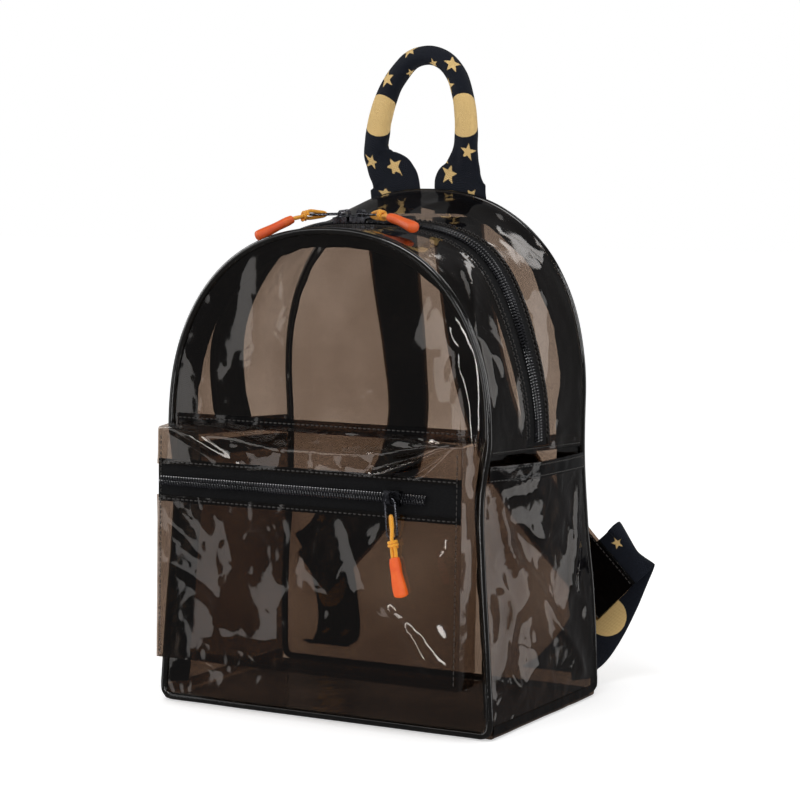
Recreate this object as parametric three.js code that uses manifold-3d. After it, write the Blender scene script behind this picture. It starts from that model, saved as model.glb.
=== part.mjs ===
// A small smoke-tinted clear backpack with a domed top, standing on its flat base.
// Millimetres, +Z up, the front faces -Y, and the origin is the middle of the base's underside.
import * as THREE from 'three';
import { mergeVertices } from 'three/addons/utils/BufferGeometryUtils.js';
import Module from 'manifold-3d';

// Body
const baseWidth = 241;
const baseDepth = 149;
const frontHeight = 305.5;
const backHeight = 327.5;
const domeRise = 127; // from the spring line up to the top of the dome
const domePower = 2.255; // 2 is an ellipse, more is squarer
const leanIn = 10; // how far the front and the back lean in at backHeight
const crownDip = 7; // how far the soft top sags where the two main sliders meet
const crownReach = 0.42; // share of the outline, from its top down, that sags with it
const film = 1.2;
const clearance = 0.3; // between pieces that touch
const pipingRadius = 2.3;
const pipingInset = 1.3; // from the skin in to the middle of the piping
const baseThickness = 2;
const baseLipHeight = 8.2;
const seamFront = 175; // height of the seam between the side panel and the gusset
const seamBack = 168;
const seamOverlap = 6;
const bindingWidth = 18; // the bound seam allowance stands this far into the bag from each piping
const bindingThickness = 1.2;
const bindingLean = 50; // degrees between it and the panel beside it
const cornerRadius = 6;

// Main zip
const tapeWidth = 30;
const mainCoilWidth = 8.5;
const coilHeight = 2;
const coilEndGap = 5;
const coilGap = 0.5; // between the tape and the coil, which turns a little on the curve
const meetingX = -12.5; // where the two main sliders meet
const sliderSpacing = 13;

// Front pocket
const pocketInset = 11.5; // from the side of the base in to the side of the pocket
const pocketDepth = 23;
const pocketBottom = 33;
const pocketEdge = 180; // height of its top edge at the corners
const pocketSeam = 182; // height of its top seam on the front panel
const pocketSag = 10; // how far the top edge sinks between its corners
const sagLean = 0.4; // how far the sunken edge leans back, as a share of its sag
const pocketBulge = 2.5;
const pocketZip = 146.5;
const pocketTape = 20;
const pocketCoilWidth = 6;
const pocketCoilMargin = 3; // from the pocket's left edge to the coil
const pocketCoilStop = 24; // from the coil to the pocket's right edge
const pocketSliderMargin = 45.5; // from the slider to the pocket's right edge

// Side pockets
const hemFront = 165;
const hemBack = 160;
const hemWidth = 10;
const mouthGape = 6;

// Zip sliders and pulls
const sliderLength = 11;
const sliderPlate = 1.6;
const sliderFlange = 1.2;
const bridgeWidth = 2.6;
const bridgeHole = 2.6;
const bridgeWall = 1.3;
const bridgeLength = 8;
const ringWire = 1.5;
const ringWidth = 6.8; // between the middles of its two long sides
const ringLength = 24;
const cordDiameter = 2.4;
const cordReach = 11; // from the ring's far end to the grip
const gripLength = 24.5;
const gripWidth = 9;
const gripThickness = 7;

// Grab handle
const webbing = 38;
const webbingThickness = 2.4; // two layers sewn together
const handleRise = 85.5; // from the top of its tabs to the middle of the loop's top
const handleFoot = 330;
const handleTabHeight = 18;
const handleHalfSpan = 42;
const handleRound = 13; // thickness of the webbing rolled into a grip

// Shoulder straps, of the same webbing as the handle
const strapThickness = 2.4;
const strapDrop = 254; // from the top of the strap to its lower end
const strapSpread = 118; // from the middle of the bag to the lower end
const strapShift = -5; // how far left of the middle the two tops are sewn on
const strapBulge = 40; // how far it stands off the back panel
const strapTopGap = 2; // between the handle's tabs and the straps
const anchorHeight = 14; // where the webbing is sewn to the back panel
const anchorSpread = 86;
const foldHeight = 92;
const foldSpread = 124;
const foldSlope = 0.69; // how far the fold's line runs outward for each millimetre that it drops

const smoke = new THREE.MeshStandardMaterial({
  color: 0x3a2f28, roughness: 0.08, metalness: 0, transparent: true, opacity: 0.6,
});
const piping = new THREE.MeshStandardMaterial({ color: 0x0b0a09, roughness: 0.15, metalness: 0 });
const tape = new THREE.MeshStandardMaterial({ color: 0x111112, roughness: 0.8, metalness: 0 });
const coil = new THREE.MeshStandardMaterial({ color: 0x16161a, roughness: 0.4, metalness: 0 });
const gunmetal = new THREE.MeshStandardMaterial({ color: 0x55555a, roughness: 0.25, metalness: 1 });
const cord = new THREE.MeshStandardMaterial({ color: 0xffa312, roughness: 0.7, metalness: 0 });
const rubber = new THREE.MeshStandardMaterial({ color: 0xf46a1d, roughness: 0.5, metalness: 0 });
const navyWebbing = new THREE.MeshStandardMaterial({ color: 0x11151e, roughness: 0.85, metalness: 0 });

// Side outline below the spring line, as shares of the spring height and of half the base width
const sideOutline = [
  { height: 0.0, front: 1.0, back: 1.0 },
  { height: 0.3, front: 0.971, back: 0.985 },
  { height: 0.58, front: 0.936, back: 0.945 },
  { height: 0.8, front: 0.922, back: 0.927 },
  { height: 1.0, front: 0.958, back: 0.934 },
];

// Where the middle of the main zip runs, as a share of the depth, from the top (0) to its ends (1)
const zipRoute = [
  { turn: 0.0, depth: 0.4 },
  { turn: 0.38, depth: 0.46 },
  { turn: 0.72, depth: 0.41 },
  { turn: 1.0, depth: 0.51 },
];

// Handle, from one foot to the other: across as a share of the half span, rise as a share of the
// rise, width as a share of the webbing, and thickness as a share of the rolled grip
const handleRoute = [
  { across: -0.64, rise: -0.21, width: 1.0, thickness: 0.19 },
  { across: -0.64, rise: -0.05, width: 1.0, thickness: 0.19 },
  { across: -0.7, rise: 0.07, width: 0.92, thickness: 0.25 },
  { across: -0.9, rise: 0.19, width: 0.6, thickness: 0.5 },
  { across: -0.98, rise: 0.29, width: 0.45, thickness: 0.75 },
  { across: -0.94, rise: 0.47, width: 0.43, thickness: 0.8 },
  { across: -0.82, rise: 0.66, width: 0.4, thickness: 0.9 },
  { across: -0.64, rise: 0.82, width: 0.36, thickness: 1.0 },
  { across: -0.36, rise: 0.96, width: 0.34, thickness: 1.0 },
  { across: -0.05, rise: 1.0, width: 0.33, thickness: 1.0 },
  { across: 0.24, rise: 0.955, width: 0.34, thickness: 1.0 },
  { across: 0.46, rise: 0.83, width: 0.36, thickness: 1.0 },
  { across: 0.58, rise: 0.64, width: 0.38, thickness: 0.95 },
  { across: 0.62, rise: 0.44, width: 0.41, thickness: 0.85 },
  { across: 0.61, rise: 0.27, width: 0.45, thickness: 0.75 },
  { across: 0.57, rise: 0.15, width: 0.66, thickness: 0.45 },
  { across: 0.52, rise: 0.05, width: 0.96, thickness: 0.22 },
  { across: 0.51, rise: -0.05, width: 1.0, thickness: 0.19 },
  { across: 0.51, rise: -0.21, width: 1.0, thickness: 0.19 },
];

// Shoulder strap, from its top to its lower end: shares of the spread, the drop and the bulge, and the
// turn of its outer edge away from the bag, in degrees
const strapRoute = [
  { across: 0.215, drop: 0.0, bulge: 0.0, turn: 0 },
  { across: 0.215, drop: 0.06, bulge: 0.04, turn: 0 },
  { across: 0.22, drop: 0.2, bulge: 0.2, turn: 4 },
  { across: 0.235, drop: 0.38, bulge: 0.46, turn: 12 },
  { across: 0.29, drop: 0.56, bulge: 0.76, turn: 18 },
  { across: 0.44, drop: 0.72, bulge: 0.97, turn: 14 },
  { across: 0.71, drop: 0.87, bulge: 0.97, turn: 4 },
  { across: 1.0, drop: 1.0, bulge: 0.87, turn: 0 },
];

// Webbing at a strap's lower end, from its anchor round the fold to behind the strap: shares of the
// way out to the fold, of the rise to the fold and of the reach behind the back panel
const webbingRoute = [
  { across: 0.0, rise: 0.0, reach: 0.0 },
  { across: 0.0, rise: 0.0, reach: 0.14 },
  { across: 0.08, rise: 0.02, reach: 0.38 },
  { across: 0.24, rise: 0.13, reach: 0.68 },
  { across: 0.42, rise: 0.33, reach: 0.9 },
  { across: 0.63, rise: 0.58, reach: 1.01 },
  { across: 0.84, rise: 0.83, reach: 1.04 },
  { across: 0.96, rise: 0.97, reach: 1.04 },
  { across: 1.0, rise: 1.0, reach: 0.98 },
  { across: 0.93, rise: 0.95, reach: 0.93 },
  { across: 0.64, rise: 0.82, reach: 0.91 },
  { across: 0.22, rise: 0.67, reach: 0.9 },
];

// Way of each zip pull from its slider: headings in degrees, seen from above for the main pulls and from
// the front for the pocket's, lifts off the film as shares of the grip's thickness, and the cord's slack
// inside the ring as a share of the ring's length
const pullRoutes = {
  main_left: { ring: 228, cord: 233, grip: 228, ringLift: 1.3, cordLift: 1.25, gripLift: 0.75, slack: 0.4 },
  main_right: { ring: -33, cord: -27, grip: -20, ringLift: 1.0, cordLift: 1.0, gripLift: 0.8, slack: 0.34 },
  pocket: { ring: -83, cord: -83, grip: -77, ringLift: 0.64, cordLift: 0.6, gripLift: 0.6, slack: 0.5 },
};

// Moulded grip of a zip pull, from the cord's end to its free end, as shares of its width and thickness
const gripSections = [
  { along: 0.0, width: 0.42, thickness: 0.46 },
  { along: 0.06, width: 0.62, thickness: 0.7 },
  { along: 0.18, width: 0.8, thickness: 0.86 },
  { along: 0.42, width: 0.82, thickness: 0.8 },
  { along: 0.66, width: 0.96, thickness: 0.9 },
  { along: 0.84, width: 1.0, thickness: 1.0 },
  { along: 0.95, width: 0.8, thickness: 0.84 },
  { along: 1.0, width: 0.36, thickness: 0.4 },
];

const mix = THREE.MathUtils.lerp;
const group = new THREE.Group();

function add(name, geometry, material) {
  const mesh = new THREE.Mesh(geometry, material);
  mesh.name = name;
  group.add(mesh);
}

// Smooth curve through one column of a table
function read(table, key, column, at) {
  const last = table.length - 1;
  let i = 0;
  while (i < last - 1 && at > table[i + 1][key]) {
    i += 1;
  }
  const slope = (k) => {
    const a = table[Math.max(k - 1, 0)];
    const b = table[Math.min(k + 1, last)];
    return (b[column] - a[column]) / (b[key] - a[key]);
  };
  const step = table[i + 1][key] - table[i][key];
  const t = THREE.MathUtils.clamp((at - table[i][key]) / step, 0, 1);
  const rise = table[i + 1][column] - table[i][column];
  return table[i][column] + t * t * (3 - 2 * t) * rise
    + step * t * (1 - t) * ((1 - t) * slope(i) - t * slope(i + 1));
}

// Builds one closed body from triangles and turns its faces out
function closedBody(positions, triangles) {
  let volume = 0;
  const corner = (i) => new THREE.Vector3(...positions.slice(3 * i, 3 * i + 3));
  for (let k = 0; k < triangles.length; k += 3) {
    const a = corner(triangles[k]);
    volume += a.dot(corner(triangles[k + 1]).cross(corner(triangles[k + 2])));
  }
  const facing = volume > 0 ? triangles : triangles.toReversed();
  const geometry = new THREE.BufferGeometry();
  geometry.setAttribute('position', new THREE.Float32BufferAttribute(positions, 3));
  geometry.setIndex(facing);
  geometry.computeVertexNormals();
  return geometry;
}

// A wall of even thickness: pointAt(u, v) is on its outer face, and its inner face lies behind
function wall(rows, columns, thickness, outward, pointAt) {
  const positions = [];
  const triangles = [];
  const count = (rows + 1) * (columns + 1);
  const tiny = 1e-3;
  const normal = new THREE.Vector3();
  const inner = [];
  for (let i = 0; i <= rows; i += 1) {
    for (let j = 0; j <= columns; j += 1) {
      const u = i / rows;
      const v = j / columns;
      const alongU = pointAt(Math.min(u + tiny, 1), v).sub(pointAt(Math.max(u - tiny, 0), v));
      const alongV = pointAt(u, Math.min(v + tiny, 1)).sub(pointAt(u, Math.max(v - tiny, 0)));
      normal.crossVectors(alongU, alongV).normalize();
      const point = pointAt(u, v);
      if (normal.dot(outward(point)) < 0) {
        normal.negate();
      }
      positions.push(...point);
      inner.push(...point.addScaledVector(normal, -thickness));
    }
  }
  positions.push(...inner);
  const at = (i, j) => i * (columns + 1) + j;
  const quad = (a, b, c, d) => triangles.push(a, b, c, a, c, d);
  for (let i = 0; i < rows; i += 1) {
    for (let j = 0; j < columns; j += 1) {
      quad(at(i, j), at(i + 1, j), at(i + 1, j + 1), at(i, j + 1));
      quad(count + at(i, j + 1), count + at(i + 1, j + 1), count + at(i + 1, j), count + at(i, j));
    }
    quad(at(i + 1, 0), at(i, 0), count + at(i, 0), count + at(i + 1, 0));
    quad(at(i, columns), at(i + 1, columns), count + at(i + 1, columns), count + at(i, columns));
  }
  for (let j = 0; j < columns; j += 1) {
    quad(at(0, j), at(0, j + 1), count + at(0, j + 1), count + at(0, j));
    quad(at(rows, j + 1), at(rows, j), count + at(rows, j), count + at(rows, j + 1));
  }
  return closedBody(positions, triangles);
}

// A bar along points: across(i) gives its width direction and section(i) its outline as [across, up]
function bar(points, loop, across, section) {
  const positions = [];
  const triangles = [];
  const count = points.length;
  const sides = section(0).length;
  points.forEach((point, i) => {
    const before = points[loop ? (i + count - 1) % count : Math.max(i - 1, 0)];
    const after = points[loop ? (i + 1) % count : Math.min(i + 1, count - 1)];
    const tangent = after.clone().sub(before).normalize();
    const wide = across(i).clone().addScaledVector(tangent, -across(i).dot(tangent)).normalize();
    const up = new THREE.Vector3().crossVectors(tangent, wide);
    for (const [a, b] of section(i)) {
      positions.push(...point.clone().addScaledVector(wide, a).addScaledVector(up, b));
    }
  });
  for (let i = 0; i < (loop ? count : count - 1); i += 1) {
    for (let j = 0; j < sides; j += 1) {
      const here = i * sides;
      const there = ((i + 1) % count) * sides;
      const next = (j + 1) % sides;
      triangles.push(here + j, here + next, there + next, here + j, there + next, there + j);
    }
  }
  if (!loop) {
    const end = (count - 1) * sides;
    for (let j = 1; j < sides - 1; j += 1) {
      triangles.push(0, j + 1, j, end, end + j, end + j + 1);
    }
  }
  return closedBody(positions, triangles);
}

function oval(width, thickness, sides) {
  return Array.from({ length: sides }, (_, k) => {
    const angle = (2 * Math.PI * (k + 0.5)) / sides;
    return [(width / 2) * Math.cos(angle), (thickness / 2) * Math.sin(angle)];
  });
}

function flat(width, thickness) {
  return [[-1, -1], [1, -1], [1, 1], [-1, 1]].map(([a, b]) => [(a * width) / 2, (b * thickness) / 2]);
}

// Points evenly spaced along a smooth curve through the given ones
function smoothLine(points, steps) {
  return new THREE.CatmullRomCurve3(points, false, 'centripetal').getSpacedPoints(steps);
}

const wasm = await Module();
wasm.setup();

function toManifold(geometry) {
  const bare = geometry.clone();
  bare.deleteAttribute('normal');
  bare.deleteAttribute('uv');
  const merged = mergeVertices(bare);
  const triVerts = new Uint32Array(merged.index.array);
  const vertProperties = merged.attributes.position.array;
  return new wasm.Manifold(new wasm.Mesh({ numProp: 3, vertProperties, triVerts }));
}

function union(...geometries) {
  const joined = geometries.map(toManifold).reduce((a, b) => a.add(b)).getMesh();
  const geometry = new THREE.BufferGeometry();
  geometry.setAttribute('position', new THREE.BufferAttribute(joined.vertProperties, 3));
  geometry.setIndex(new THREE.BufferAttribute(joined.triVerts, 1));
  geometry.computeVertexNormals();
  return geometry;
}

// The body's skin

const halfBase = baseWidth / 2;
const pipingEdge = pipingRadius + clearance; // from the middle of the piping to what it is sewn to
const springFront = frontHeight - domeRise;

function topHeight(depth) {
  return mix(frontHeight, backHeight, depth);
}

function halfDepth(z) {
  return baseDepth / 2 - (leanIn * z) / backHeight;
}

function halfWidth(z, depth) {
  const at = z / (topHeight(depth) - domeRise);
  const front = read(sideOutline, 'height', 'front', at);
  const back = read(sideOutline, 'height', 'back', at);
  return halfBase * mix(front, back, depth);
}

// Place across the depth, from the front piping (0) to the back piping (1)
function depthToY(z, depth) {
  const reach = halfDepth(z) - pipingEdge;
  return mix(-reach, reach, depth);
}

// Outline of the bag, from its left low end (-1) over the top (0) to its right low end (1)
function outline(turn, depth, low, inset) {
  const along = Math.abs(turn);
  const spring = topHeight(depth) - domeRise;
  const wide = halfWidth(spring, depth);
  const quarter = (Math.PI / 2) * Math.hypot(wide, domeRise) * Math.SQRT1_2;
  const domePart = quarter / (quarter + spring - low);
  const side = Math.sign(turn);
  if (along < domePart) {
    const angle = (along / domePart) * (Math.PI / 2);
    const x = (wide - inset) * Math.sin(angle) ** (2 / domePower);
    return { x: side * x, z: spring + (domeRise - inset) * Math.cos(angle) ** (2 / domePower) };
  }
  const z = mix(spring, low, (along - domePart) / (1 - domePart));
  return { x: side * (halfWidth(z, depth) - inset), z };
}

// The soft crown sags where the two sliders meet
function crownSag(turn, depth) {
  const near = Math.max(0, 1 - (turn / crownReach) ** 2) ** 2;
  const between = 4 * depth * (1 - depth);
  return crownDip * near * between ** 1.5;
}

function gusset(turn, depth, low, inset = 0) {
  const { x, z } = outline(turn, depth, low, inset);
  return new THREE.Vector3(x, depthToY(z, depth), z - crownSag(turn, depth));
}

function seamHeight(depth) {
  return mix(seamFront, seamBack, depth);
}

function awayFromMiddle(point) {
  return new THREE.Vector3(point.x, 0, point.z - springFront);
}

// Front and back panels are flat sheets inside their piping
const panelLow = 2 * pipingEdge;
const outlineSteps = 46;

function panel(depth) {
  const inset = pipingInset + pipingEdge;
  const side = depth === 0 ? -1 : 1;
  const corner = panelLow;
  const outlinePoints = [];
  for (let i = 0; i <= outlineSteps; i += 1) {
    const { x, z } = outline(1 - (2 * i) / outlineSteps, depth, panelLow + cornerRadius, inset);
    outlinePoints.push(new THREE.Vector2(x, z));
  }
  const shape = new THREE.Shape(outlinePoints);
  const left = outlinePoints.at(-1).x;
  shape.quadraticCurveTo(left, corner, left + cornerRadius, corner);
  shape.lineTo(-left - cornerRadius, corner);
  shape.quadraticCurveTo(-left, corner, -left, corner + cornerRadius);
  const geometry = new THREE.ExtrudeGeometry(shape, { depth: film, bevelEnabled: false, curveSegments: 3 });
  geometry.translate(0, 0, -film / 2);
  geometry.rotateX(Math.PI / 2);
  const lean = new THREE.Matrix4().makeShear(0, 0, 0, 0, 0, (-side * leanIn) / backHeight);
  geometry.applyMatrix4(lean);
  geometry.translate(0, (side * baseDepth) / 2, 0);
  return geometry;
}

// Piping runs round the whole outline of a panel and across the bottom
function pipingLoop(depth) {
  const side = depth === 0 ? -1 : 1;
  const low = pipingEdge;
  const points = [];
  const place = (x, z) => points.push(new THREE.Vector3(x, side * halfDepth(z), z));
  for (let i = 0; i <= outlineSteps; i += 1) {
    const { x, z } = outline((2 * i) / outlineSteps - 1, depth, panelLow + cornerRadius, pipingInset);
    place(x, z);
  }
  const right = points.at(-1).x;
  const bend = cornerRadius * (1 - Math.SQRT1_2);
  place(right, low + cornerRadius);
  place(right - bend, low + bend);
  place(right - cornerRadius, low);
  place(0, low);
  place(cornerRadius - right, low);
  place(bend - right, low + bend);
  place(-right, low + cornerRadius);
  const section = oval(2 * pipingRadius, 2 * pipingRadius, 6);
  return bar(points, true, () => new THREE.Vector3(0, 1, 0), () => section);
}

// The seam allowance beside a piping, bound with tape, stands into the bag along the arch and both sides
function seamBinding(depth) {
  const side = depth === 0 ? -1 : 1;
  const lean = THREE.MathUtils.degToRad(bindingLean);
  const near = pipingEdge + clearance;
  const places = [];
  for (let i = 0; i <= outlineSteps; i += 1) {
    places.push(outline((2 * i) / outlineSteps - 1, depth, panelLow + cornerRadius, pipingInset));
  }
  const points = places.map(({ x, z }) => new THREE.Vector3(x, side * halfDepth(z), z));
  const inward = (i) => {
    const before = places[Math.max(i - 1, 0)];
    const after = places[Math.min(i + 1, outlineSteps)];
    const inPanel = new THREE.Vector3(after.z - before.z, 0, before.x - after.x).normalize();
    return inPanel.multiplyScalar(Math.cos(lean)).add(new THREE.Vector3(0, -side * Math.sin(lean), 0));
  };
  const inner = side * bindingThickness; // all its thickness lies on the side away from the wall
  const section = [[near, 0], [bindingWidth, 0], [bindingWidth, inner], [near, inner]];
  return bar(points, false, inward, () => section);
}

// Main zip: the tape's share of the depth at each place along it
function zipDepth(turn) {
  return read(zipRoute, 'turn', 'depth', Math.abs(turn));
}

const meanReach = baseDepth - leanIn - 2 * pipingEdge; // between the two pipings, halfway up

// A place on the gusset, offset from the middle of the zip
function zipPoint(turn, offset) {
  const depth = zipDepth(turn) + offset / meanReach;
  return gusset(turn, depth, seamHeight(depth));
}

const archSteps = 40;
const zipSide = tapeWidth / 2 + clearance;

function frontGusset() {
  return wall(archSteps, 3, film, awayFromMiddle, (u, v) => {
    const turn = 2 * u - 1;
    const depth = v * (zipDepth(turn) - zipSide / meanReach);
    return gusset(turn, depth, seamHeight(depth));
  });
}

function backGusset() {
  return wall(archSteps, 4, film, awayFromMiddle, (u, v) => {
    const turn = 2 * u - 1;
    const depth = mix(zipDepth(turn) + zipSide / meanReach, 1, v);
    return gusset(turn, depth, seamHeight(depth));
  });
}

function zipTape() {
  return wall(archSteps, 2, film, awayFromMiddle, (u, v) => zipPoint(2 * u - 1, (v - 0.5) * tapeWidth));
}

// Place and directions on the main zip
function zipFrame(turn) {
  const point = zipPoint(turn, 0);
  const along = zipPoint(turn + 0.01, 0).sub(zipPoint(turn - 0.01, 0)).normalize();
  const out = zipPoint(turn, -1).sub(zipPoint(turn, 1)).cross(along).normalize();
  if (out.dot(awayFromMiddle(point)) < 0) {
    out.negate();
  }
  return { point, along, across: new THREE.Vector3().crossVectors(out, along), out };
}

function mainCoil() {
  const lift = coilGap + coilHeight / 2;
  const end = 1 - coilEndGap / ((Math.PI / 2) * Math.hypot(halfBase, domeRise));
  const turns = [-end];
  for (let i = 1; i < archSteps; i += 1) {
    turns.push((2 * i) / archSteps - 1);
  }
  turns.push(end);
  const frames = turns.map(zipFrame);
  const points = frames.map((f) => f.point.clone().addScaledVector(f.out, lift));
  return bar(points, false, (i) => frames[i].across, () => flat(mainCoilWidth, coilHeight));
}

// Zip slider in its own frame: X along the zip, Y across it, Z away from the tape
const sliderBase = coilGap + coilHeight + 2 * clearance; // underside of its plate above the tape
const sliderFoot = 2 * clearance;
const bridgeMiddle = sliderBase + sliderPlate + bridgeHole / 2;

// The bridge stands along the pull's direction, at pullAngle to the zip
function slider(coilWidth, pullAngle) {
  const sliderInside = coilWidth / 2 + clearance;
  const outside = sliderInside + sliderFlange;
  const channel = new THREE.Shape([
    [-outside, sliderFoot], [-sliderInside, sliderFoot], [-sliderInside, sliderBase],
    [sliderInside, sliderBase], [sliderInside, sliderFoot], [outside, sliderFoot],
    [outside, sliderBase + sliderPlate],
    [-outside, sliderBase + sliderPlate],
  ].map(([a, b]) => new THREE.Vector2(a, b)));
  const body = new THREE.ExtrudeGeometry(channel, { depth: sliderLength, bevelEnabled: false });
  body.translate(0, 0, -sliderLength / 2);
  body.rotateX(Math.PI / 2);
  body.rotateZ(Math.PI / 2);
  const foot = sliderBase + sliderPlate / 2;
  const top = sliderBase + sliderPlate + bridgeHole + bridgeWall;
  const half = bridgeLength / 2;
  const arch = new THREE.Shape();
  arch.moveTo(-half, foot);
  arch.lineTo(half, foot);
  arch.lineTo(half, top - bridgeWall);
  arch.lineTo(half - bridgeWall, top);
  arch.lineTo(bridgeWall - half, top);
  arch.lineTo(-half, top - bridgeWall);
  const hole = new THREE.Path();
  const inside = half - bridgeWall;
  hole.moveTo(-inside, sliderBase + sliderPlate);
  hole.lineTo(-inside, top - bridgeWall);
  hole.lineTo(inside, top - bridgeWall);
  hole.lineTo(inside, sliderBase + sliderPlate);
  arch.holes.push(hole);
  const bridge = new THREE.ExtrudeGeometry(arch, { depth: bridgeWidth, bevelEnabled: false });
  bridge.translate(0, 0, -bridgeWidth / 2);
  bridge.rotateX(Math.PI / 2);
  bridge.rotateZ(pullAngle);
  return union(body, bridge);
}

function placed(geometry, frame) {
  const basis = new THREE.Matrix4().makeBasis(frame.along, frame.across, frame.out);
  return geometry.clone().applyMatrix4(basis.setPosition(frame.point));
}

// Wire ring between the middles of its two end bars; flatNormal stands on its plane
function pullRing(near, far, flatNormal) {
  const along = far.clone().sub(near).normalize();
  const across = new THREE.Vector3().crossVectors(flatNormal, along).normalize();
  const half = ringWidth / 2;
  const points = [];
  for (const [end, sign] of [[near, -1], [far, 1]]) {
    const centre = end.clone().addScaledVector(along, -sign * half);
    for (let k = 0; k <= 4; k += 1) {
      const angle = (Math.PI * k) / 4;
      points.push(centre.clone().addScaledVector(across, -sign * half * Math.cos(angle))
        .addScaledVector(along, sign * half * Math.sin(angle)));
    }
  }
  return bar(points, true, () => flatNormal, () => oval(ringWire, ringWire, 6));
}

// Cord loop from its bend inside the ring, over and under the ring's far bar, with both ends in the grip
function pullCord(bend, ringEnd, end, flatNormal) {
  const inRing = bend.clone().sub(ringEnd).normalize();
  const toGrip = end.clone().sub(ringEnd).normalize();
  const out = flatNormal.clone().addScaledVector(inRing, -flatNormal.dot(inRing)).normalize();
  const around = (ringWire + cordDiameter) / 2 + 2 * clearance;
  const together = (cordDiameter + clearance) / 2;
  const last = end.clone().addScaledVector(toGrip, -3 * clearance);
  const points = [last.clone().addScaledVector(out, together), ringEnd.clone().addScaledVector(out, around)];
  for (let k = 0; k <= 6; k += 1) {
    const angle = (Math.PI * k) / 6;
    points.push(bend.clone().addScaledVector(out, around * Math.cos(angle))
      .addScaledVector(inRing, around * Math.sin(angle)));
  }
  points.push(ringEnd.clone().addScaledVector(out, -around), last.clone().addScaledVector(out, -together));
  const side = new THREE.Vector3().crossVectors(out, inRing);
  return bar(points, false, () => side, () => oval(cordDiameter, cordDiameter, 8));
}

function pullGrip(near, far, flatNormal) {
  const points = gripSections.map((row) => near.clone().lerp(far, row.along));
  const across = new THREE.Vector3().crossVectors(far.clone().sub(near), flatNormal).normalize();
  return bar(points, false, () => across, (i) => oval(
    gripWidth * gripSections[i].width,
    gripThickness * gripSections[i].thickness,
    10,
  ));
}

// A slider with its ring, cord loop and grip: place(a, b, lift) is a point over the surface under them
function zipPull(prefix, coilWidth, frame, flatNormal, start, place) {
  const route = pullRoutes[prefix];
  const at = start.clone();
  const stations = {};
  for (const [piece, length] of [['ring', ringLength], ['cord', cordReach], ['grip', gripLength]]) {
    const heading = THREE.MathUtils.degToRad(route[piece]);
    at.add(new THREE.Vector2(Math.cos(heading), Math.sin(heading)).multiplyScalar(length));
    stations[piece] = place(at.x, at.y, gripThickness * route[`${piece}Lift`]);
  }
  const bridge = frame.point.clone().addScaledVector(frame.out, bridgeMiddle);
  const pull = stations.ring.clone().sub(bridge);
  const pullAngle = Math.atan2(pull.dot(frame.across), pull.dot(frame.along));
  const bend = stations.ring.clone().lerp(bridge, route.slack);
  add(`${prefix}_slider`, placed(slider(coilWidth, pullAngle), frame), gunmetal);
  add(`${prefix}_pull_ring`, pullRing(bridge, stations.ring, flatNormal), gunmetal);
  add(`${prefix}_pull_cord`, pullCord(bend, stations.ring, stations.cord, flatNormal), cord);
  add(`${prefix}_pull_grip`, pullGrip(stations.cord, stations.grip, flatNormal), rubber);
}

// Where the gusset's outline crosses a place from left to right
function turnAtX(x, depth) {
  let low = -0.5;
  let high = 0.5;
  for (let k = 0; k < 30; k += 1) {
    const middle = (low + high) / 2;
    if (outline(middle, depth, seamHeight(depth), 0).x < x) {
      low = middle;
    } else {
      high = middle;
    }
  }
  return low;
}

function aboveGusset(x, y, lift) {
  const depth = (y / (halfDepth(frontHeight) - pipingEdge) + 1) / 2;
  return new THREE.Vector3(x, y, gusset(turnAtX(x, depth), depth, seamHeight(depth)).z + lift);
}

function mainPull(name, side) {
  const frame = zipFrame(turnAtX(meetingX + (side * sliderSpacing) / 2, zipDepth(0)));
  const start = new THREE.Vector2(frame.point.x, frame.point.y);
  zipPull(name, mainCoilWidth, frame, new THREE.Vector3(0, 0, 1), start, aboveGusset);
}

// Lower body

function basePanel() {
  const half = halfBase;
  const inner = half - film;
  const tray = new THREE.Shape([
    [-half, 0], [half, 0], [half, baseLipHeight], [inner, baseLipHeight], [inner, baseThickness],
    [-inner, baseThickness], [-inner, baseLipHeight], [-half, baseLipHeight],
  ].map(([a, b]) => new THREE.Vector2(a, b)));
  const length = 2 * (halfDepth(baseLipHeight) - pipingEdge);
  const geometry = new THREE.ExtrudeGeometry(tray, { depth: length, bevelEnabled: false });
  geometry.translate(0, 0, -length / 2);
  geometry.rotateX(Math.PI / 2);
  return geometry;
}

const pocketGap = film + 1.8 * clearance; // the side panel lies this far inside the skin

function sidePanel(side) {
  return wall(9, 3, film, () => new THREE.Vector3(side, 0, 0), (u, v) => {
    const z = mix(baseThickness + clearance, seamHeight(v) + seamOverlap, u);
    return new THREE.Vector3(side * (halfWidth(z, v) - pocketGap), depthToY(z, v), z);
  });
}

function hemHeight(depth) {
  return mix(hemFront, hemBack, depth);
}

// Place on the side pocket's outer face; its mouth gapes open between its two sewn edges
function sidePocketPoint(side, z, depth, proud) {
  const share = (z - baseLipHeight) / (hemFront - baseLipHeight);
  const gape = mouthGape * share ** 1.6 * Math.sin(Math.PI * depth ** 1.3) ** 0.8;
  return new THREE.Vector3(side * (halfWidth(z, depth) + gape + proud), depthToY(z, depth), z);
}

function sidePocket(side) {
  return wall(8, 8, film, () => new THREE.Vector3(side, 0, 0), (u, v) => {
    const z = mix(baseLipHeight + clearance, hemHeight(v), u);
    return sidePocketPoint(side, z, v, 0);
  });
}

function sideHem(side) {
  return wall(1, 10, film, () => new THREE.Vector3(side, 0, 0), (u, v) => {
    const z = mix(hemHeight(v) - hemWidth, hemHeight(v), u);
    return sidePocketPoint(side, z, v, film + 2 * clearance);
  });
}

// Front pocket

const halfPocket = halfBase - pocketInset;

function frontY(z) {
  return -halfDepth(z);
}

function pocketY(z) {
  return frontY(z) - pocketDepth;
}

function towardFront() {
  return new THREE.Vector3(0, -1, 0);
}

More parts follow.
